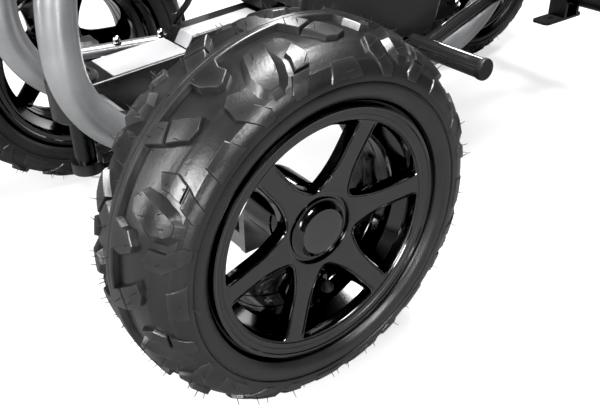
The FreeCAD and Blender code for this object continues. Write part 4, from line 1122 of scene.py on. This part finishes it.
def make_grips():
    """Both grips: an inner flange, fluted ribs and a rounded end."""
    bar_x, bar_z = 15.28, 945.47     # mm
    # (distance from the inner end, radius)
    profile = [(0.0, 0.0185), (0.0006, 0.0197), (0.0015, 0.0200), (0.0038, 0.0200),
               (0.0048, 0.0194), (0.0052, 0.0165)]
    distance = 0.0066
    while distance < 0.088:
        profile += [(distance, 0.0154), (distance + 0.0005, 0.0163), (distance + 0.0030, 0.0165),
                    (distance + 0.0035, 0.0163), (distance + 0.0040, 0.0154)]
        distance += 0.0048
    profile += [(0.0940, 0.0160), (0.0960, 0.0178), (0.0985, 0.0181), (0.1010, 0.0176),
                (0.1026, 0.0150), (0.1031, 0.0090), (0.1031, 0.0030)]
    shape = Shape()
    for side in (1, -1):
        shape.turn_on_line(profile, from_axle(bar_x - 15.9, side * 186, bar_z + 22.5),
                           from_axle(bar_x - 31.2, side * 288, bar_z + 22.5),
                           sides=72, flute=0.0005)
    grips = shape.object("ribbed_grips", "rubber", crease=35, recalc=True)
    attach(grips, "stem", "rubber", "grips")


def make_hose(name, radius, points, replaced=None):
    """One length of brake hose, a fixed tube along the path; points in mm."""
    hose = tube_object(name, [from_axle(*point) for point in points], radius, "matte")
    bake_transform(hose)
    if replaced:
        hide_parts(replaced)


make_grips()
make_hose("brake_hose_head", 0.0032,
          [(50, 27.8, 426), (55, 27.6, 440), (54, 28.5, 458), (51, 30, 480)])
make_hose("brake_hose_fold", 0.0031,
          [(51, 30, 480), (47, 31.5, 500), (42, 32.5, 530), (37, 32.5, 570)])
make_hose("brake_hose_stem", 0.0030,
          [(37, 32.5, 570), (29, 32, 630), (17, 31, 700), (2, 31, 775), (-6, 36, 830),
           (-3, 60, 888), (9, 92, 925), (25, 120, 948), (41, 143.5, 967.8)],
          replaced="brake_cable_upper")

# ==================================================================== knee pad
PAD_INSET = 0.007        # the cushion starts this much small, then swells
PAD_SWELL = 0.0075       # furthest that it may swell
CROSS_SEAM = 0.125       # from each end of the pad
PIPING_RADIUS = 0.0019
STITCH_RADIUS = 0.00045
CLOTH = dict(quality=5, mass=0.25, tension_stiffness=12.0, compression_stiffness=12.0,
             shear_stiffness=5.0, bending_stiffness=0.4, air_damping=2.0, use_pressure=True,
             uniform_pressure_force=4.0)
CLOTH_FRAMES = 20

pad_low, pad_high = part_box("knee_pad")
pad_length = pad_high[0] - pad_low[0] - 2 * PAD_INSET
pad_width = pad_high[1] - pad_low[1] - 2 * PAD_INSET
pad_height = pad_high[2] - pad_low[2] - PAD_INSET
pad_x = (pad_low[0] + pad_high[0]) / 2
pad_z = pad_low[2] + pad_height / 2


def mesh_points(mesh):
    return np.array([vert.co[:] for vert in mesh.vertices])


def pad_block():
    """Rounded box, remeshed evenly."""
    solid = bmesh.new()
    bmesh.ops.create_cube(solid, size=1.0)
    for vert in solid.verts:
        x, y, z = vert.co
        vert.co = Vector((x * pad_length + pad_x, y * pad_width, z * pad_height + pad_z))
    upright = [edge for edge in solid.edges
               if abs(edge.verts[0].co.z - edge.verts[1].co.z) > pad_height / 2]
    round_edges(solid, upright, radius=0.040, segments=12)
    for side, radius, segments in ((1, 0.014, 5), (-1, 0.005, 3)):     # top, then bottom
        rim = [edge for edge in solid.edges if len(edge.link_faces) == 2
               and all((vert.co.z - pad_z) * side > pad_height / 2 - 1e-5
                       for vert in edge.verts)]
        round_edges(solid, rim, radius, segments)
    cushion = object_from_bmesh("pad_cushion", solid)
    remesh = cushion.modifiers.new("remesh", "REMESH")
    remesh.mode = "VOXEL"
    remesh.voxel_size = 0.005
    apply_modifiers(cushion)
    return cushion


def inflate(cushion):
    """Blows the cushion up as cloth, with its underside pinned."""
    start = mesh_points(cushion.data)
    pinned = [i for i, point in enumerate(start) if point[2] < pad_low[2] + 0.004]
    cushion.vertex_groups.new(name="pin").add(pinned, 1.0, "REPLACE")
    cloth = cushion.modifiers.new("cloth", "CLOTH")
    for key, value in CLOTH.items():
        setattr(cloth.settings, key, value)
    cloth.settings.effector_weights.gravity = 0.0
    cloth.settings.vertex_group_mass = "pin"
    cloth.collision_settings.use_self_collision = False
    cloth.point_cache.frame_start = 1
    cloth.point_cache.frame_end = CLOTH_FRAMES
    for frame in range(1, CLOTH_FRAMES + 1):
        scene.frame_set(frame)
    graph = bpy.context.evaluated_depsgraph_get()
    swollen = bpy.data.meshes.new_from_object(cushion.evaluated_get(graph), depsgraph=graph)
    end = mesh_points(swollen)
    cushion.modifiers.remove(cloth)
    bpy.data.meshes.remove(swollen)
    scene.frame_set(1)
    # a simulation that blew up leaves the plain block
    if np.isfinite(end).all():
        move = end - start
        length = np.linalg.norm(move, axis=1)
        move *= np.minimum(1.0, PAD_SWELL / np.maximum(length, 1e-9))[:, None]
        points = start + move
        points[:, 2] = np.maximum(points[:, 2], pad_low[2])
        for vert, point in zip(cushion.data.vertices, points):
            vert.co = point


def relax(cushion):
    smooth = cushion.modifiers.new("relax", "SMOOTH")
    smooth.factor = 0.5
    smooth.iterations = 3
    fine = cushion.modifiers.new("fine", "SUBSURF")
    fine.levels = 1
    fine.render_levels = 1
    apply_modifiers(cushion)


def dip(distance, width, depth):
    return np.exp(-(distance / width) ** 2) * depth


def press_seams(mesh):
    """Lengthwise channel and two cross seams with puckers, and a waist round the side."""
    points = np.zeros(len(mesh.vertices) * 3, np.float32)
    mesh.vertices.foreach_get("co", points)
    points = points.reshape(-1, 3).astype(float)
    x, y, z = points.T       # views, so they follow the changes below
    front, back = pad_high[0], pad_low[0]
    on_top = np.clip((z - (pad_low[2] + 0.030)) / 0.012, 0, 1)
    off_ends = np.clip((np.minimum(x - back, front - x) - 0.004) / 0.03, 0, 1)
    pucker = 0.5 + 0.5 * np.sin(x * 2 * math.pi / 0.021 + 1.3 * np.sin(x * 41.0))
    channel = (dip(y, width=0.0058, depth=0.0085)
               + dip(y, width=0.019, depth=0.0025 + 0.0010 * pucker))
    z -= channel * on_top * off_ends
    for seam_x in (back + CROSS_SEAM, front - CROSS_SEAM):
        pucker = 0.5 + 0.5 * np.sin(y * 2 * math.pi / 0.019 + 0.7)
        seam = (dip(x - seam_x, width=0.0045, depth=0.0045)
                + dip(x - seam_x, width=0.016, depth=0.0012 + 0.0008 * pucker))
        z -= seam * on_top * np.clip(np.abs(y) / 0.01, 0, 1)
    waist = dip(z - (pad_low[2] + 0.0095), width=0.0035, depth=0.0022)
    outward = points[:, :2] - np.array([pad_x, 0.0])
    length = np.linalg.norm(outward, axis=1)
    points[:, :2] -= outward / np.maximum(length, 1e-6)[:, None] * waist[:, None]
    points[:, 0] = np.clip(x, back - 0.001, front + 0.001)
    points[:, 2] = np.clip(z, pad_low[2], pad_high[2] + 0.001)
    mesh.vertices.foreach_set("co", points.astype(np.float32).ravel())
    mesh.update()


def make_piping(name, z, surface):
    """A cord round the side of the pad, found by casting inwards."""
    path = []
    for cosine, sine in circle(1.0, 120):
        # a rounded rectangle of aim points keeps the cast square to the side
        reach = (abs(cosine) ** 4.0 + abs(sine) ** 4.0) ** (-1.0 / 4.0)
        target, origin = (
            Vector((pad_x + cosine * reach * (pad_length / 2 + margin),
                    sine * reach * (pad_width / 2 + margin), z)) for margin in (-0.045, 0.06))
        point, normal, *_ = surface.ray_cast(origin, (target - origin).normalized())
        if point is not None:
            path.append(point - normal * 0.0002)
    rings = []
    for i, point in enumerate(path):
        tangent = (path[(i + 1) % len(path)] - path[i - 1]).normalized()
        out = Vector((tangent.y, -tangent.x, 0)).normalized()
        rings += ring(point, out, Vector((0, 0, 1)), PIPING_RADIUS, 10)
    shape = Shape()
    shape.grid(rings, 10, wrap_rows=True)
    return shape.object(name, "vinyl", recalc=True)


def add_stitch(shape, start, end):
    along = (end - start).normalized()
    side = along.cross(Vector((0, 0, 1))).normalized()
    up = side.cross(along)
    points = []
    # (place along the stitch, share of its radius)
    for t, share in ((0.0, 0.15), (0.12, 0.85), (0.5, 1.0), (0.88, 0.85), (1.0, 0.15)):
        centre = start.lerp(end, t) + Vector((0, 0, 0.00035 * math.sin(math.pi * t)))
        points += ring(centre, side, up, STITCH_RADIUS * share, 6)
    shape.grid(points, 6, capped=True)


def make_stitches(surface):
    """A row of stitches on each side of the channel."""
    shape = Shape()
    for y in (-0.0125, 0.0125):
        x = pad_low[0] + 0.030
        while x < pad_high[0] - 0.034:
            ends = [surface.ray_cast(Vector((at, y, pad_high[2] + 0.05)), Vector((0, 0, -1)))[0]
                    for at in (x, x + 0.0042)]
            if None not in ends:
                add_stitch(shape, *(end + Vector((0, 0, 0.0001)) for end in ends))
            x += 0.0062
    return shape.object("pad_stitches", "thread", recalc=True)


def make_pad():
    cushion = pad_block()
    inflate(cushion)
    relax(cushion)
    mesh = cushion.data
    press_seams(mesh)
    smooth_faces(mesh)
    mesh.materials.append(MATERIALS["vinyl"])
    surface = BVHTree.FromPolygons([vert.co[:] for vert in mesh.vertices],
                                   [polygon.vertices[:] for polygon in mesh.polygons])
    trims = [make_piping("pad_piping_low", pad_low[2] + 0.0120, surface),
             make_piping("pad_piping_top", pad_high[2] - 0.0150, surface),
             make_stitches(surface)]
    attach(cushion, "pad", "pad_vinyl", "knee_pad")
    for trim in trims:
        attach(trim, "pad", "pad_vinyl")


make_pad()

# ======================================================================= cover
COVER_HALF_WIDTH = 91.5  # mm
# Side outline in mm, as (x from the front axle, z)
COVER_OUTLINE = [(-124, 270), (-180, 243), (-262, 211), (-311, 208), (-334, 241), (-352, 318),
                 (-340, 330), (-142, 330), (-128, 318)]
# Sides of the outline whose edges are the front and rear upright corners
COVER_UPRIGHTS = [((-124, 270), (-128, 318)), ((-128, 318), (-142, 330)),
                  ((-334, 241), (-352, 318)), ((-352, 318), (-340, 330))]


def make_shell():
    """Moulded cover with rounded corners, a sunk roof panel and a thin wall, open below."""
    solid = bmesh.new()
    left, right = ([solid.verts.new(from_axle(x, y, z)) for x, z in COVER_OUTLINE]
                   for y in (COVER_HALF_WIDTH, -COVER_HALF_WIDTH))
    solid.faces.new(left)
    solid.faces.new(right[::-1])
    for i in range(len(left)):
        j = (i + 1) % len(left)
        solid.faces.new([left[j], left[i], right[i], right[j]])
    bmesh.ops.recalc_face_normals(solid, faces=solid.faces[:])

    def touches(edge, corner):
        x, _, z = from_axle(corner[0], 0, corner[1])
        return any(abs(vert.co.x - x) < 1e-6 and abs(vert.co.z - z) < 1e-6
                   for vert in edge.verts)

    uprights = [edge for edge in solid.edges
                if abs(edge.verts[0].co.y - edge.verts[1].co.y) < 1e-6
                and any(touches(edge, start) and touches(edge, end)
                        for start, end in COVER_UPRIGHTS)]
    round_edges(solid, uprights, radius=0.020, segments=7, clamp=True)
    underside = [face for face in solid.faces if face.normal.z < -0.35]
    bmesh.ops.delete(solid, geom=underside, context="FACES")
    creases = [edge for edge in solid.edges if len(edge.link_faces) == 2
               and edge.calc_face_angle(0.0) > math.radians(38)]
    round_edges(solid, creases, radius=0.0055, segments=4, clamp=True)
    roof = [face for face in solid.faces if face.normal.z > 0.995 and face.calc_area() > 0.01]
    bmesh.ops.inset_region(solid, faces=roof, thickness=0.014, depth=0.0)
    bmesh.ops.inset_region(solid, faces=roof, thickness=0.0016, depth=-0.0018)
    shell = object_from_bmesh("moulded_cover", solid)
    wall = shell.modifiers.new("wall", "SOLIDIFY")
    wall.thickness = 0.0028
    wall.offset = -1.0
    apply_modifiers(shell)
    reshade(shell.data, crease=32)
    shell.data.materials.append(MATERIALS["cover"])
    attach(shell, "frame", "moulded_grey", "body_shell")


def make_cover_foot():
    """Block on the spine under the front of the cover."""
    solid = bmesh.new()
    bmesh.ops.create_cube(solid, size=1.0)
    for vert in solid.verts:
        x, y, z = vert.co
        bottom = 252.0 if x > 0 else 253.0
        vert.co = Vector(from_axle(-139 + x * 22, y * 42, bottom if z < 0 else 288.0))
    round_edges(solid, solid.edges[:], radius=0.002, segments=3)
    foot = object_from_bmesh("cover_foot", solid)
    reshade(foot.data, crease=35)
    foot.data.materials.append(MATERIALS["cover"])
    attach(foot, "frame", "moulded_grey")


def make_cover_post():
    """Flanged post under the roof; it leans a hair so that its side vector is defined."""
    # (height, radius)
    profile = [(0.0, 0.012), (0.0006, 0.0136), (0.0022, 0.0140), (0.0030, 0.0136),
               (0.0040, 0.0100), (0.0060, 0.0090), (0.0700, 0.0090), (0.0730, 0.0100),
               (0.0746, 0.0120), (0.0750, 0.0118)]
    shape = Shape()
    shape.turn_on_line(profile, from_axle(-292, 0, 252.6), from_axle(-292, 0.001, 327.6), 40)
    attach(shape.object("cover_post", "cover", crease=30), "frame", "moulded_grey")


make_shell()
make_cover_foot()
make_cover_post()

# =================================================================== mudguards
FENDER_ARC = (32.4, 149.6)   # degrees from +x to +z about the rear axle
# Raised ribs and rolled edges in mm: (arc radius, distance outward, tube radius)
FENDER_RIBS = [(187.0, 0.0, 1.3), (185.6, 31.0, 1.1), (185.6, -31.0, 1.1), (181.9, 58.4, 1.2),
               (181.6, -60.2, 1.2), (166.8, 65.5, 1.7), (150.6, -64.7, 1.7)]


def make_fender_ribs():
    first, last = FENDER_ARC
    for side, sign in (("left", 1), ("right", -1)):
        for k, (radius, outward, thickness) in enumerate(FENDER_RIBS):
            points = []
            for i in range(25):
                angle = math.radians(first + (last - first) * i / 24)
                points.append(from_axle(-WHEELBASE + radius * math.cos(angle),
                                        sign * (REAR_HALF_TRACK + outward),
                                        TYRE_RADIUS + radius * math.sin(angle)))
            rib = tube_object(f"fender_rib_{side}_{k}", points, thickness * MM, "cover",
                              sides=10, steps=3)
            attach(rib, "frame", "matte_black")


make_fender_ribs()


# ================================================== floor, world, lights, camera
def make_floor():
    """Pale paper floor that looks brighter to the camera than to other rays."""
    grid = bmesh.new()
    bmesh.ops.create_grid(grid, x_segments=8, y_segments=8, size=6.0)
    floor = object_from_bmesh("studio_floor", grid)
    surface = Surface("floor_paper")
    cloud = surface.noise(surface.coords(), scale=3.0, detail=3.0, roughness=0.5)
    seen = surface.ramp(cloud, (0.3, grey(0.40)), (0.7, grey(0.42)))
    camera_ray = surface.camera_ray()
    # the floor glows for the camera only, more strongly away from the middle
    distance = surface.add("ShaderNodeVectorMath", {0: surface.coords()}, operation="LENGTH")
    fade = surface.map_range(distance.outputs["Value"], source=(1.0, 3.2), target=(0.66, 1.0))
    glow = surface.add("ShaderNodeMath", {0: camera_ray, 1: fade}, operation="MULTIPLY")
    surface.set(Base_Color=surface.mix(camera_ray, (0.20, 0.20, 0.20, 1), seen), Roughness=0.9,
                Specular_IOR_Level=0.1, Emission_Color=(1, 1, 1, 1),
                Emission_Strength=glow.outputs[0])
    floor.data.materials.append(surface.material)


def make_world():
    """White to the camera, nearly black to everything else."""
    world = bpy.data.worlds.new("studio_world")
    scene.world = world
    world.use_nodes = True
    nodes = Nodes(world.node_tree)
    place = nodes.add("ShaderNodeTexCoord").outputs["Generated"]
    height = nodes.add("ShaderNodeSeparateXYZ", {0: place}).outputs["Z"]
    sky = nodes.ramp(height, (0.0, grey(0.06)), (0.3, grey(0.02)), (0.6, grey(0.015)),
                     (1.0, grey(0.05)))
    colour = nodes.mix(nodes.camera_ray(), sky, (1.0, 1.0, 1.0, 1.0))
    background = nodes.add("ShaderNodeBackground", {0: colour, 1: 1.0})
    nodes.add("ShaderNodeOutputWorld", {0: background.outputs[0]})


def area_light(name, place, target, width, height, power):
    data = bpy.data.lights.new(name, "AREA")
    data.shape = "RECTANGLE"
    data.size = width
    data.size_y = height
    data.energy = power
    light = link_object(name, data)
    light.location = place
    aim = Vector(target) - Vector(place)
    light.rotation_euler = aim.to_track_quat("-Z", "Y").to_euler()


def make_camera():
    """Above the front left of the frame, looking back, right and down at it."""
    data = bpy.data.cameras.new("main_camera")
    camera = link_object("main_camera", data)
    right = Vector((-0.793, 0.609, -0.010)).normalized()
    forward = Vector((-0.509, -0.672, -0.539)).normalized()
    right = (right - forward * right.dot(forward)).normalized()
    up = right.cross(forward).normalized()
    place = (0.66017, 0.65115, 0.48924)
    rows = [(right[i], up[i], -forward[i], place[i]) for i in range(3)]
    camera.matrix_world = Matrix((*rows, (0, 0, 0, 1)))
    data.sensor_fit = "HORIZONTAL"
    data.sensor_width = 36.0
    data.lens = 43.8
    data.clip_start = 0.02
    data.clip_end = 50.0
    scene.camera = camera


def set_view():
    view = scene.view_settings
    view.view_transform = "Standard"
    view.look = "None"
    view.use_curve_mapping = True
    view.curve_mapping.black_level = (0.007, 0.007, 0.007)
    view.curve_mapping.update()


make_floor()
make_world()
FRONT_WHEELS = (0.35, 0.2, 0.15)     # where most lights aim
area_light("soft_top", (0.0, 0.2, 1.9), (0.15, 0.1, 0.1), width=1.0, height=0.6, power=78)
area_light("soft_left", (2.0, 1.0, 0.9), FRONT_WHEELS, width=0.5, height=0.7, power=46)
area_light("strip_front", (1.9, -0.7, 0.9), (0.35, 0.1, 0.15), width=0.25, height=1.5, power=22)
area_light("window_side", (0.35, 2.3, 1.25), FRONT_WHEELS, width=0.5, height=0.3, power=26)
area_light("low_left", (0.9, 1.8, 0.18), FRONT_WHEELS, width=0.4, height=0.15, power=5)
area_light("back_rim", (-1.3, -1.6, 1.5), (0.0, 0.0, 0.2), width=1.0, height=0.5, power=40)
make_camera()
set_view()
